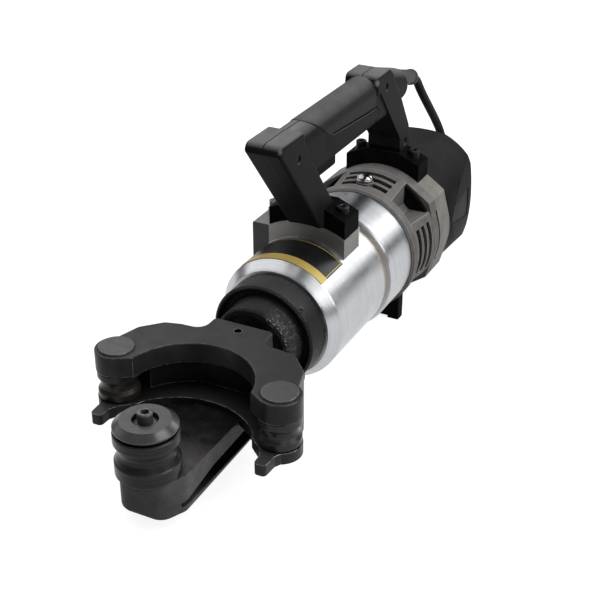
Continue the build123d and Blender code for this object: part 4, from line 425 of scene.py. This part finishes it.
def turned_aluminium():
    """Bright aluminium: fine rings, glints drawn out square to them, a dull saddle face."""
    look = Look("body_aluminium", metal=1.0, anisotropy=0.72)
    marks = look.rings(0.5, AXIS, Y)
    bands = look.rings(5.0, AXIS, Y)
    colour = look.mix(look.spread(marks), TURNED_DARK, TURNED_PALE)
    colour = look.mix(look.span(bands, 0.35, 0.75, 0, 0.25), colour, TURNED_BAND)
    radius, along = look.radius(ORIGIN, Y)
    saddle = look.fade(radius, SADDLE_R_NONE, SADDLE_R_FULL)
    saddle = look.times(saddle, look.between(along, *SADDLE_Y, SADDLE_SOFT))
    colour = look.mix(saddle, colour, SADDLE)
    look.feed(look.shader.inputs["Tangent"], look.across_rings(AXIS, Y))
    streaks = look.noise(9, (1, 2.5, 1), detail=4)
    gloss = look.math("ADD", look.spread(streaks, 0.26, 0.38), look.times(saddle, 0.15))
    return look.finish(colour, gloss, marks, 0.015)


# Milled block

MILLED_DARK = (0.050, 0.050, 0.049)
MILLED_PALE = (0.075, 0.075, 0.073)
MILLED_LIT_TOP = (0.25, 0.25, 0.245)
MILLED_EDGE = grey(0.4)


def milled_block():
    """Dull milled block: straight cutter marks, soft edges, and painted light on its top faces."""
    look = Look("block_aluminium", metal=0.3, level=0.12)
    marks = look.noise(0.6, (1, 30, 1), detail=2)
    normal, edges = look.edge(0.6)
    cloud = look.cloud(9)
    colour = look.mix(look.spread(marks), MILLED_DARK, MILLED_PALE)
    colour = look.lay(colour, cloud, 0.3, MILLED_DARK)
    # Painted light: the top faces paler.
    colour = look.mix(look.lit_from_above(), colour, MILLED_LIT_TOP)
    colour = look.lay(colour, edges, 0.4, MILLED_EDGE)
    return look.finish(colour, look.span(cloud, 0, 1, 0.42, 0.52), marks, 0.02, normal)


# Grey die casting

GREY_DARK = (0.072, 0.068, 0.065)
GREY_PALE = (0.115, 0.109, 0.104)
GREY_LIT_TOP_DARK = (0.105, 0.100, 0.096)
GREY_LIT_TOP_PALE = (0.155, 0.148, 0.142)
GREY_EDGE_HIGHLIGHT = (0.46, 0.45, 0.43)
BARE_DARK = (0.135, 0.126, 0.116)
BARE_PALE = (0.185, 0.173, 0.160)
BARE_FRONT = (170.2, 169.2)
BARE_REAR = (236.5, 238.5)


def grey_casting():
    """Warm grey die casting: faint cloudiness, fine skin, lighter ends, painted top light, painted edge
    highlights, painted shade in slots and hollows.
    """
    look = Look("housing_cast", metal=0.1, level=0.08)
    cloud = look.cloud(11, detail=5)
    skin = look.noise(0.9, detail=3)
    normal, edges = look.edge(0.9)
    colour = look.mix(cloud, GREY_DARK, GREY_PALE)
    # Painted light: faces that look up take the paler top tone.
    colour = look.mix(look.lit_from_above(0.3, 0.9), colour, look.mix(cloud, GREY_LIT_TOP_DARK, GREY_LIT_TOP_PALE))
    along = look.parts(ORIGIN)[Y]
    bare = look.math("ADD", look.fade(along, *BARE_REAR), look.fade(along, *BARE_FRONT))
    bare = look.math("MULTIPLY", bare, 0.85, clamp=True)
    colour = look.mix(bare, colour, look.mix(cloud, BARE_DARK, BARE_PALE))
    # Painted highlights along the edges.
    colour = look.lay(colour, edges, 0.7, GREY_EDGE_HIGHLIGHT)
    # Painted shade in slots and hollows.
    colour = look.lay(colour, look.shaded_hollows(14, 0.15, 0.7), 0.96, BLACK)
    return look.finish(colour, look.spread(skin, 0.48, 0.58), skin, 0.06, normal)


# Black plastics, rubbers and paint

CORNER_GLINT = grey(0.24)
GLINT_CORNERS = ((14.5, 188.5, 148.5), (14.5, 20.5, 150.5))
GLINT_NONE, GLINT_FULL = 3.6, 1.0
SEAM_NONE, SEAM_FULL = 0.5, 0.2
PAINT_DARK = grey(0.0025)
PAINT_PALE = grey(0.005)
PAINT_RUBBED = grey(0.16)


def moulded(
    name, low, high, rough, grain=0.8, depth=0.06, level=0.05, edge=0.7, shine=None, top=None,
    seam=False, glint_corners=(),
):
    """Moulded black plastic or rubber: fine grain, faint cloudiness, painted light on tops, edges and the
    given corners.
    """
    look = Look(name, level=level)
    cloud = look.cloud(20)
    skin = look.noise(grain, detail=2)
    normal, edges = look.edge(edge)
    colour = look.mix(cloud, low, high)
    # Painted light: faces that look up take the paler top tone.
    if top:
        colour = look.mix(look.lit_from_above(), colour, look.mix(cloud, scaled(top, 0.75), top))
    # Painted highlight along the edges.
    colour = look.lay(colour, edges, 0.45, shine or scaled(high, 3))
    # Painted highlights at the given corners.
    for corner in glint_corners:
        near = look.fade(look.distance(at(*corner)), GLINT_NONE, GLINT_FULL)
        colour = look.lay(colour, near, 0.6, CORNER_GLINT)
    if seam:
        aside = look.math("ABSOLUTE", look.parts()[X])
        colour = look.mix(look.fade(aside, SEAM_NONE, SEAM_FULL), colour, BLACK)
    dull = look.span(cloud, 0, 1, rough - 0.04, rough + 0.04)
    gloss = look.math("ADD", dull, look.spread(skin, -0.04, 0.04))
    return look.finish(colour, gloss, skin, depth, normal)


def painted_black():
    """Black paint on metal: slight orange peel, rubbed corners."""
    look = Look("bracket_black", level=0.005)
    peel = look.noise(1.4, detail=2)
    normal, edges = look.edge(0.6)
    cloud = look.cloud(15)
    colour = look.mix(cloud, PAINT_DARK, PAINT_PALE)
    rubbed = look.times(edges, look.span(look.noise(2, detail=4), 0.50, 0.66))
    colour = look.lay(colour, rubbed, 0.35, PAINT_RUBBED)
    return look.finish(colour, look.span(cloud, 0, 1, 0.36, 0.46), peel, 0.05, normal)


# Bright metals

def bright_metal(name, tone, rough, size=0.6):
    """Bare or plated metal with faint tool marks."""
    look = Look(name, metal=1.0)
    marks = look.noise(size, (1, 1, 6), detail=3)
    normal, edges = look.edge(0.4)
    colour = look.mix(look.spread(marks), scaled(tone, 0.75), tone)
    colour = look.lay(colour, edges, 0.4, scaled(tone, 1.15))
    gloss = look.spread(look.noise(4, detail=4), rough - 0.04, rough + 0.06)
    return look.finish(colour, gloss, marks, 0.01, normal)


def laminated(name, tone):
    """Stacked motor sheets: thin lines square to the axis."""
    look = Look(name, metal=0.8)
    lines = look.rings(0.6, AXIS, Y)
    normal = look.edge(0.4)[0]
    colour = look.mix(look.span(lines, 0.35, 0.65), scaled(tone, 0.6), tone)
    return look.finish(colour, look.spread(lines, 0.4, 0.55), lines, 0.05, normal)


# Nameplate and its gold strip

GOLD_LEFT = (0.32, 0.21, 0.056)
GOLD_RIGHT = (0.42, 0.335, 0.085)
GOLD_BRUSHED = (0.36, 0.24, 0.06)
GOLD_LEFT_X, GOLD_RIGHT_X = -30, 34
PLATE_DARK = grey(0.004)
PLATE_PALE = grey(0.008)
PLATE_LEAN = 42
PLATE_R = 51.4
PLATE_REAR_Y = 85.2
BORDER = (1.2, 1.8)
BORDER_SOFT = 0.1


def gold_tone(look):
    """(yellow gold, paler to the right; its faint brushing round the body)."""
    tone = look.mix(look.fade(look.parts()[X], GOLD_LEFT_X, GOLD_RIGHT_X), GOLD_LEFT, GOLD_RIGHT)
    brushed = look.rings(0.4, AXIS, Y)
    return look.mix(look.span(brushed, 0.35, 0.7, 0, 0.16), tone, GOLD_BRUSHED), brushed


def gold_sheet():
    """Plain gold strip."""
    look = Look("strip_gold", metal=0.25, level=0.3)
    colour, brushed = gold_tone(look)
    return look.finish(colour, look.spread(brushed, 0.34, 0.44), brushed, 0.01)


def black_plate():
    """Bare black nameplate with one thin gold line inside its rear and side edges."""
    look = Look("plate_black", level=0.25)
    gold, brushed = gold_tone(look)
    x, y, z = look.parts(ORIGIN)
    lean = look.math("ABSOLUTE", look.math("ARCTAN2", x, z))
    to_side = look.times(look.math("SUBTRACT", radians(PLATE_LEAN), lean), PLATE_R * MM)
    to_rear = look.math("SUBTRACT", PLATE_REAR_Y * MM, y)
    border = look.between(look.math("MINIMUM", to_side, to_rear), *BORDER, BORDER_SOFT)
    colour = look.mix(look.cloud(12), PLATE_DARK, PLATE_PALE)
    colour = look.lay(colour, border, 0.8, gold)
    return look.finish(colour, look.spread(brushed, 0.30, 0.38), brushed, 0.008)


# Woven tie of the lead

WOVEN_DARK = grey(0.02)
WOVEN_PALE = grey(0.07)
WEAVE = 400.0


def woven(name):
    """Woven strap: crossing ribs."""
    look = Look(name, level=0.3, sheen=0.2)
    ribs = look.add("ShaderNodeTexWave", {"Vector": look.place(), "Scale": WEAVE, "Distortion": 0.4})
    cross = look.add("ShaderNodeTexWave", {"Vector": look.place(), "Scale": WEAVE}, bands_direction="Z")
    height = look.times(ribs.outputs["Fac"], cross.outputs["Fac"])
    colour = look.mix(height, WOVEN_DARK, WOVEN_PALE)
    return look.finish(colour, look.span(height, 0, 1, 0.9, 0.75), height, 0.2)


# Looks of the slots, and of the nodes that have one of their own

# The top tones below are painted light on faces that look up; shine tones are painted edge highlights.
LOOKS = {
    "frame_cast": cast_black(),
    "yoke_steel": dark_steel(
        "yoke_steel", (0.015, 0.0153, 0.0155), (0.026, 0.0263, 0.0265),
        rough=0.38, wear_and_glint=(0.42, 0.42, 0.43), shade=0.9, top=(0.043, 0.0435, 0.044),
    ),
    "tool_steel": dark_steel(
        "tool_steel", (0.026, 0.026, 0.027), (0.048, 0.048, 0.050),
        rough=0.36, wear_and_glint=(0.24, 0.24, 0.25), blotch=7, grain=0.6, depth=0.03, shade=0.8,
    ),
    "pin_steel": dark_steel(
        "pin_steel", (0.040, 0.040, 0.041), (0.060, 0.060, 0.062),
        rough=0.34, wear_and_glint=(0.50, 0.50, 0.51), blotch=5, grain=0.6, depth=0.03, top=(0.088, 0.0885, 0.089),
    ),
    "ram_chrome": bright_metal("ram_chrome", (0.72, 0.72, 0.74), rough=0.14),
    "inner_steel": bright_metal("inner_steel", (0.52, 0.52, 0.54), rough=0.32),
    "pump_steel": bright_metal("pump_steel", (0.56, 0.52, 0.46), rough=0.36),
    "bush_brass": bright_metal("bush_brass", (0.78, 0.60, 0.30), rough=0.28),
    "body_aluminium": turned_aluminium(),
    "block_aluminium": milled_block(),
    "housing_cast": grey_casting(),
    "plate_black": black_plate(),
    "strip_gold": gold_sheet(),
    "valve_steel": dark_steel(
        "valve_steel", grey(0.10), grey(0.19),
        rough=0.36, wear_and_glint=(0.35, 0.35, 0.36), blotch=3, grain=0.6, depth=0.03,
    ),
    "bladder_rubber": moulded("bladder_rubber", grey(0.010), grey(0.018), rough=0.60),
    "screw_chrome": bright_metal("screw_chrome", (0.36, 0.36, 0.365), rough=0.15, size=0.4),
    "screw_black": dark_steel(
        "screw_black", grey(0.004), grey(0.010),
        rough=0.32, wear_and_glint=grey(0.20), blotch=4, grain=0.5, depth=0.02, level=0.06,
    ),
    "bracket_black": painted_black(),
    "motor_iron": laminated("motor_iron", (0.28, 0.28, 0.29)),
    "motor_copper": bright_metal("motor_copper", (0.72, 0.40, 0.25), rough=0.32),
    "fan_plastic": moulded("fan_plastic", grey(0.012), grey(0.022), rough=0.5),
    "carbon": moulded("carbon", grey(0.008), grey(0.016), rough=0.62),
    "cap_plastic": moulded(
        "cap_plastic", (0.008, 0.0078, 0.0078), (0.014, 0.0136, 0.0136),
        rough=0.50, grain=1.0, depth=0.07, level=0.01, top=(0.026, 0.0255, 0.0255),
    ),
    "handle_plastic": moulded(
        "handle_plastic", (0.0065, 0.0065, 0.0066), (0.0105, 0.0105, 0.0107),
        rough=0.44, grain=0.9, level=0.02, edge=1.2, shine=(0.045, 0.045, 0.046),
        top=(0.140, 0.141, 0.142), seam=True, glint_corners=GLINT_CORNERS,
    ),
    "grip_rubber": moulded(
        "grip_rubber", (0.010, 0.010, 0.0102), (0.015, 0.015, 0.0152),
        rough=0.42, grain=1.2, depth=0.04, level=0.03, top=(0.098, 0.099, 0.100),
    ),
    "trigger_plastic": moulded(
        "trigger_plastic", grey(0.003), grey(0.006), rough=0.34, grain=0.9, depth=0.03, level=0.01
    ),
    "cord_rubber": moulded(
        "cord_rubber", (0.008, 0.0075, 0.0075), (0.013, 0.012, 0.012),
        rough=0.44, grain=1.2, depth=0.03, level=0.02,
    ),
    "tie_plastic": woven("tie_plastic"),
    "plug_plastic": moulded("plug_plastic", grey(0.010), grey(0.018), rough=0.48),
}
OWN_LOOKS = {
    "mandrel_roller": turned_steel(
        "mandrel_turned", MANDREL, (0.014, 0.014, 0.0145), (0.030, 0.030, 0.031), rough=0.30
    ),
    "mandrel_cap": turned_steel(
        "mandrel_cap_turned", MANDREL, (0.040, 0.040, 0.041), (0.070, 0.070, 0.072), rough=0.27, level=0.3
    ),
    "left_roller": turned_steel(
        "left_roller_turned", LEFT_ROLLER, (0.018, 0.016, 0.015), (0.032, 0.028, 0.026), rough=0.32
    ),
    "right_roller": turned_steel(
        "right_roller_turned", RIGHT_ROLLER, (0.020, 0.020, 0.021), (0.040, 0.040, 0.042), rough=0.32
    ),
    "roller_pins": LOOKS["pin_steel"],
    "cap_panels": moulded("cap_panel", grey(0.003), grey(0.006), rough=0.42, level=0.015, shine=grey(0.06)),
    "strain_relief": moulded(
        "relief_rubber", (0.028, 0.030, 0.027), (0.041, 0.043, 0.039),
        rough=0.48, grain=1.2, depth=0.05, level=0.12,
    ),
}
for entry in frame["record"]["subparts"]:
    look = OWN_LOOKS.get(entry["node"], LOOKS[entry["material_slot"]])
    for holder in NODES[entry["node"]].material_slots:
        holder.material = look


# Meshes

def mesh_piece(name, points, faces, look, smooth=True):
    mesh = bpy.data.meshes.new(name)
    mesh.from_pydata([tuple(at(*p)) for p in points], [], faces)
    mesh.update()
    for face in mesh.polygons:
        face.use_smooth = smooth
    piece = bpy.data.objects.new(name, mesh)
    bpy.context.collection.objects.link(piece)
    mesh.materials.append(look)
    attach(piece, "machine")
    return piece


def ring_faces(rings, count, first=0):
    """Faces that join each closed ring of count points to the next one."""
    faces = []
    for ring in range(rings - 1):
        for i in range(count):
            a = first + ring * count + i
            b = first + ring * count + (i + 1) % count
            faces.append((a, b, b + count, a + count))
    return faces


# Grip: the cover's raised skin

GRIP_HALF = 13.6
GRIP_TOP = 152.0
CROWN = 13.0
COVER_LINE = ((77.0, 153.0), (100.0, 135.5), (188.2, 129.5))
COVER_REAR, COVER_LOW = COVER_LINE[-1]
GRIP_SIDE = GRIP_TOP - CROWN - COVER_LOW
GRIP_QUARTER = CROWN * pi / 2
GRIP_FLAT = GRIP_HALF - CROWN
SUNK = 0.05
SKIN = 0.5
SKIN_LIP = ((0.0, -SUNK), (0.25, 0.32), (0.8, SKIN), (2.0, SKIN))
SKIN_LOW_FADE = 1.2
SKIN_REAR_GAP = 0.1
SKIN_ROWS = 40
SKIN_STEPS = 24


def grip_point(run, rise):
    """(x, z) on the grip's section, run mm up from the cover's lowest edge and rise mm proud of it."""
    if run <= GRIP_SIDE:
        return GRIP_HALF + rise, COVER_LOW + run
    run -= GRIP_SIDE
    if run <= GRIP_QUARTER:
        turn = run / CROWN
        return GRIP_FLAT + (CROWN + rise) * cos(turn), GRIP_TOP - CROWN + (CROWN + rise) * sin(turn)
    return GRIP_FLAT - (run - GRIP_QUARTER), GRIP_TOP + rise


def cover_start(z):
    """Where the cover begins along the grip at a height."""
    (y0, z0), (y1, z1), (y2, z2) = COVER_LINE
    if z >= z1:
        return y0 + (z0 - z) / (z0 - z1) * (y1 - y0)
    return y1 + (z1 - z) / (z1 - z2) * (y2 - y1)


def skin_step(step, start, end):
    """(y, rise) of one step along the skin: first over its lip, then evenly to its end."""
    if step < len(SKIN_LIP):
        ahead, rise = SKIN_LIP[step]
        return min(start + ahead, end), rise
    lip = SKIN_LIP[-1][0]
    y = start + lip + (end - start - lip) * (step - len(SKIN_LIP) + 1) / SKIN_STEPS
    return min(max(y, start), end), SKIN


def grip_skin():
    half_run = GRIP_SIDE + GRIP_QUARTER + GRIP_FLAT
    runs = [half_run * i / SKIN_ROWS for i in range(SKIN_ROWS + 1)]
    rows = [(run, 1) for run in runs] + [(run, -1) for run in reversed(runs[:-1])]
    steps = len(SKIN_LIP) + SKIN_STEPS
    end = COVER_REAR - SKIN_REAR_GAP
    points, faces = [], []
    for run, side in rows:
        start = cover_start(grip_point(run, 0)[1])
        full = min(1.0, run / SKIN_LOW_FADE)
        for step in range(steps):
            y, rise = skin_step(step, start, end)
            x, z = grip_point(run, rise * full - SUNK * (1 - full))
            points.append((side * x, y, z))
    for row in range(len(rows) - 1):
        for step in range(steps - 1):
            a = row * steps + step
            faces.append((a, a + 1, a + steps + 1, a + steps))
    return mesh_piece("grip_skin", points, faces, LOOKS["grip_rubber"])


# Grip: the raised tongue, and a flat dark strip along each lower side as the groove's painted shadow

TIP_CENTRE = (187.5, 122.4)
TIP_REACH, TIP_RISE = 6.2, 5.4
TIP_STEPS = 12
TONGUE_TOP = (
    (96.0, 139.0), (101.0, 136.6), (108.7, 132.9), (130.0, 131.2),
    (152.0, 129.6), (174.0, 128.1), (183.0, 127.9),
)
TONGUE_TIP = tuple(
    (TIP_CENTRE[0] + TIP_REACH * cos(turn), TIP_CENTRE[1] + TIP_RISE * sin(turn))
    for turn in (radians(90 - 180 * i / TIP_STEPS) for i in range(TIP_STEPS + 1))
)
TONGUE_LOW = ((176.0, 117.0), (150.0, 117.0), (120.0, 117.0), (96.0, 117.0))
TONGUE = TONGUE_TOP + TONGUE_TIP + TONGUE_LOW
TONGUE_LIP = ((-SUNK, 0.0), (0.40, 0.35), (0.55, 0.9))
TONGUE_START = 97.0
TONGUE_RUN_OUT = 8.0
GROOVE_FIRST = 2
GROOVE_INNER, GROOVE_OUTER = 0.1, -1.5
GROOVE_RISE = 0.06
GROOVE_SHADOW_LOOK = moulded("groove_shadow", grey(0.0015), grey(0.003), rough=0.7, level=0.02)
SIDE_NAMES = {1: "right", -1: "left"}


def tongue_ring(inset):
    """The tongue's outline, moved inwards by inset."""
    ring = []
    for i, (y, z) in enumerate(TONGUE):
        y0, z0 = TONGUE[i - 1]
        y1, z1 = TONGUE[(i + 1) % len(TONGUE)]
        run = hypot(y1 - y0, z1 - z0)
        ring.append((y + (z1 - z0) / run * inset, z - (y1 - y0) / run * inset))
    return ring


def tongue(side):
    """Raised tongue on the grip's lower side, rounded at its rear end and running out towards the front."""
    count = len(TONGUE)
    points = []
    for height, inset in TONGUE_LIP:
        for y, z in tongue_ring(inset):
            full = min(1.0, max(0.0, (y - TONGUE_START) / TONGUE_RUN_OUT))
            rise = (height + SUNK) * full - SUNK
            points.append((side * (GRIP_HALF + rise), y, z))
    faces = ring_faces(len(TONGUE_LIP), count)
    faces.append(tuple(range(len(points) - count, len(points))))
    name = "grip_tongue_" + SIDE_NAMES[side]
    return mesh_piece(name, points, faces, LOOKS["handle_plastic"], smooth=False)


def groove_shadow_strip(side):
    """Flat dark strip along the tongue's top and round its end: the groove's painted shadow."""
    shown = range(GROOVE_FIRST, len(TONGUE_TOP) + len(TONGUE_TIP))
    inner, outer = tongue_ring(GROOVE_INNER), tongue_ring(GROOVE_OUTER)
    x = side * (GRIP_HALF + GROOVE_RISE)
    points = [(x, *ring[i]) for ring in (inner, outer) for i in shown]
    count = len(shown)
    faces = [(i, i + 1, i + 1 + count, i + count) for i in range(count - 1)]
    name = "grip_groove_shadow_" + SIDE_NAMES[side]
    return mesh_piece(name, points, faces, GROOVE_SHADOW_LOOK, smooth=False)


grip_skin()
for side in (1, -1):
    tongue(side)
    groove_shadow_strip(side)


# Wing screws: socket heads standing proud of the brackets

HEAD_R = 4.75
HEAD_CHAMFER = 0.6
HEAD_SIDES = 36
SOCKET_FLAT = 2.3
SOCKET_DEPTH = 3.0
WING_X = 25.0
WING_HEADS = ((103.75, 71.0, 78.2), (249.15, 63.6, 72.3))


def socket_reach(turn):
    """How far the hexagon socket's wall lies from its middle in a direction."""
    return SOCKET_FLAT / cos((turn % (pi / 3)) - pi / 6)


def wing_heads():
    points, faces = [], []
    for y, low, top in WING_HEADS:
        rings = (
            (HEAD_R, low), (HEAD_R, top - HEAD_CHAMFER), (HEAD_R - HEAD_CHAMFER, top),
            (None, top), (None, top - SOCKET_DEPTH),
        )
        for x in (-WING_X, WING_X):
            first = len(points)
            for radius, z in rings:
                for i in range(HEAD_SIDES):
                    turn = 2 * pi * i / HEAD_SIDES
                    reach = radius or socket_reach(turn)
                    points.append((x + reach * cos(turn), y + reach * sin(turn), z))
            faces += ring_faces(len(rings), HEAD_SIDES, first)
            faces.append(tuple(range(len(points) - HEAD_SIDES, len(points))))
    return mesh_piece("wing_screw_heads", points, faces, LOOKS["screw_black"], smooth=False)


wing_heads()


# Vent screw: its full round head, with a cross slot

VENT_SCREW_Y = 202.0
VENT_HEAD = ((7.0, 57.6), (7.0, 58.9), (6.5, 60.3), (5.4, 61.5), (3.8, 62.4), (1.9, 62.9))
VENT_SIDES = 40
VENT_DARK = (0.22, 0.22, 0.23)
VENT_PALE = (0.38, 0.38, 0.39)
CROSS_SLOT_SHADE = grey(0.012)
CROSS_NONE, CROSS_FULL = 1.0, 0.6
CROSS_END_NONE, CROSS_END_FULL = 4.4, 3.8


def cross_chrome():
    """Plated screw head, its unmodelled cross slot painted dark as the slot's shade."""
    look = Look("vent_head_chrome", metal=1.0)
    place = look.parts(at(0, VENT_SCREW_Y, 0))
    x, y = look.math("ABSOLUTE", place[X]), look.math("ABSOLUTE", place[Y])
    slot = look.fade(look.math("MINIMUM", x, y), CROSS_NONE, CROSS_FULL)
    slot = look.times(slot, look.fade(look.math("MAXIMUM", x, y), CROSS_END_NONE, CROSS_END_FULL))
    marks = look.noise(2.0, detail=3)
    colour = look.mix(look.spread(marks), VENT_DARK, VENT_PALE)
    # Painted shade in the cross slot.
    colour = look.mix(slot, colour, CROSS_SLOT_SHADE)
    gloss = look.math("ADD", look.spread(marks, 0.12, 0.20), look.times(slot, 0.4))
    return look.finish(colour, gloss, marks, 0.01)


def vent_head():
    turns = [2 * pi * i / VENT_SIDES for i in range(VENT_SIDES)]
    points = [(r * cos(turn), VENT_SCREW_Y + r * sin(turn), z) for r, z in VENT_HEAD for turn in turns]
    faces = ring_faces(len(VENT_HEAD), VENT_SIDES)
    faces.append(tuple(range(len(points) - VENT_SIDES, len(points))))
    return mesh_piece("vent_screw_head", points, faces, cross_chrome())


vent_head()


# Beam: the cast flank that runs out from the nose along the hidden left edge

FLANK_PLAN = ((-25.0, -98.0), (-28.6, -84.0), (-30.0, -60.0), (-30.0, -40.0), (-25.0, -40.0))
FLANK_TOP, FLANK_LOW = -19.2, -30.0


def beam_flank():
    count = len(FLANK_PLAN)
    points = [(x, y, z) for z in (FLANK_TOP, FLANK_LOW) for x, y in FLANK_PLAN]
    faces = [tuple(range(count)), tuple(reversed(range(count, 2 * count)))]
    faces += ring_faces(2, count)
    return mesh_piece("beam_flank", points, faces, LOOKS["frame_cast"], smooth=False)


beam_flank()


# Mains cord: down behind the cap, into its coil, and on to the plug

CORD_R = 4.0
SLOPE = (cos(radians(17)), -sin(radians(17)))
STUB_START = (214.0, 137.6)
STUB_LENGTH = 45.3
RELIEF_BACK = 6.0
RELIEF_UP = 7.0
RELIEF_LENGTH = 45.4
CORD_LEAD_OUT = 12.0
STUB_END = (STUB_START[0] + STUB_LENGTH * SLOPE[0], STUB_START[1] + STUB_LENGTH * SLOPE[1])
RELIEF = (
    STUB_END[0] - RELIEF_BACK * SLOPE[0] - RELIEF_UP * SLOPE[1],
    STUB_END[1] - RELIEF_BACK * SLOPE[1] + RELIEF_UP * SLOPE[0],
)


def on_relief(run):
    """A point on the strain relief's own line, run mm from its start."""
    return (0.0, RELIEF[0] + run * SLOPE[0], RELIEF[1] + run * SLOPE[1])


CORD_ROUTE = (
    on_relief(RELIEF_LENGTH),
    on_relief(RELIEF_LENGTH + CORD_LEAD_OUT),
    (0.0, 322.5, 99.4),
    (0.0, 345.5, 76.8),
    (0.0, 366.0, 56.7),
    (1.5, 380.5, 38.0),
    (4.0, 386.5, 14.0),
    (6.0, 387.0, -12.0),
    (6.5, 391.5, -34.0),
    (5.6, 400.0, -47.5),
    (3.52, 410.0, -54.6),
)
COIL_CENTRE = (-55.0, 410.0)
COIL_TURNS = 4.5
COIL_STEPS = 16
COIL_START = 20
COIL_INNER_R = 33.5
COIL_PITCH = 8.6
COIL_LOW = -54.6
CLIMB_TURN = 2.5
CLIMB_LENGTH = 0.5
TAIL_STEPS = ((6.2, -16.9, -0.4), (14.5, -35.0, -2.2), (22.0, -53.5, -4.5), (26.0, -72.0, -4.5))


def coil_place(turn):
    """A point of the coil: in along the floor, up a layer, and out again on top."""
    radius = COIL_INNER_R + COIL_PITCH * abs(turn - CLIMB_TURN)
    climb = min(max((turn - CLIMB_TURN) / CLIMB_LENGTH + 0.5, 0.0), 1.0)
    angle = radians(COIL_START + 360 * turn)
    lift = COIL_PITCH * (1 - cos(pi * climb)) / 2
    return (COIL_CENTRE[0] + radius * cos(angle), COIL_CENTRE[1] + radius * sin(angle), COIL_LOW + lift)


coil = [coil_place(i / COIL_STEPS) for i in range(int(COIL_TURNS * COIL_STEPS) + 1)]
tail = [tuple(a + b for a, b in zip(coil[-1], step)) for step in TAIL_STEPS]
line = bpy.data.curves.new("mains_lead", "CURVE")
line.dimensions = "3D"
line.bevel_depth = CORD_R * MM
line.bevel_resolution = 6
line.use_fill_caps = True
route = line.splines.new("NURBS")
places = [at(*p) for p in (*CORD_ROUTE, *coil, *tail)]
route.points.add(len(places) - 1)
for point, place in zip(route.points, places):
    point.co = (*place, 1)
route.order_u = 3
route.use_endpoint_u = True
route.resolution_u = 8
lead = bpy.data.objects.new("mains_lead", line)
bpy.context.collection.objects.link(lead)
line.materials.append(LOOKS["cord_rubber"])
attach(lead, "machine")
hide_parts("mains_cord", "cord_coil", "cord_tail")


# Floor: white paper, lit evenly where it is seen straight or in a reflection

FLOOR_HALF = 14.0
FLOOR_DROP = 0.4
PAPER = (0.30, 0.30, 0.30, 1)
PAPER_GLOW = 0.84


def floor_paper():
    paper = bpy.data.materials.new("paper")
    paper.use_nodes = True
    sheet = Nodes(paper.node_tree)
    sheet.tree.nodes.clear()
    plain = sheet.add("ShaderNodeBsdfDiffuse", {"Color": PAPER})
    rays = sheet.add("ShaderNodeLightPath").outputs
    seen = sheet.math("ADD", rays["Is Camera Ray"], rays["Is Glossy Ray"])
    seen = sheet.math("ADD", seen, rays["Is Transmission Ray"], clamp=True)
    glow = sheet.add("ShaderNodeEmission", {"Strength": sheet.times(seen, PAPER_GLOW)})
    both = sheet.add("ShaderNodeAddShader", {0: plain.outputs[0], 1: glow.outputs[0]})
    sheet.add("ShaderNodeOutputMaterial", {"Surface": both.outputs[0]})
    return paper


floor_mesh = bpy.data.meshes.new("floor")
floor_corners = [(x * FLOOR_HALF, y * FLOOR_HALF, 0) for x, y in ((-1, -1), (1, -1), (1, 1), (-1, 1))]
floor_mesh.from_pydata(floor_corners, [], [(0, 1, 2, 3)])
floor = bpy.data.objects.new("floor", floor_mesh)
floor.location.z = -FLOOR_DROP * MM
bpy.context.collection.objects.link(floor)
floor_mesh.materials.append(floor_paper())

bpy.context.scene.view_settings.view_transform = "Standard"
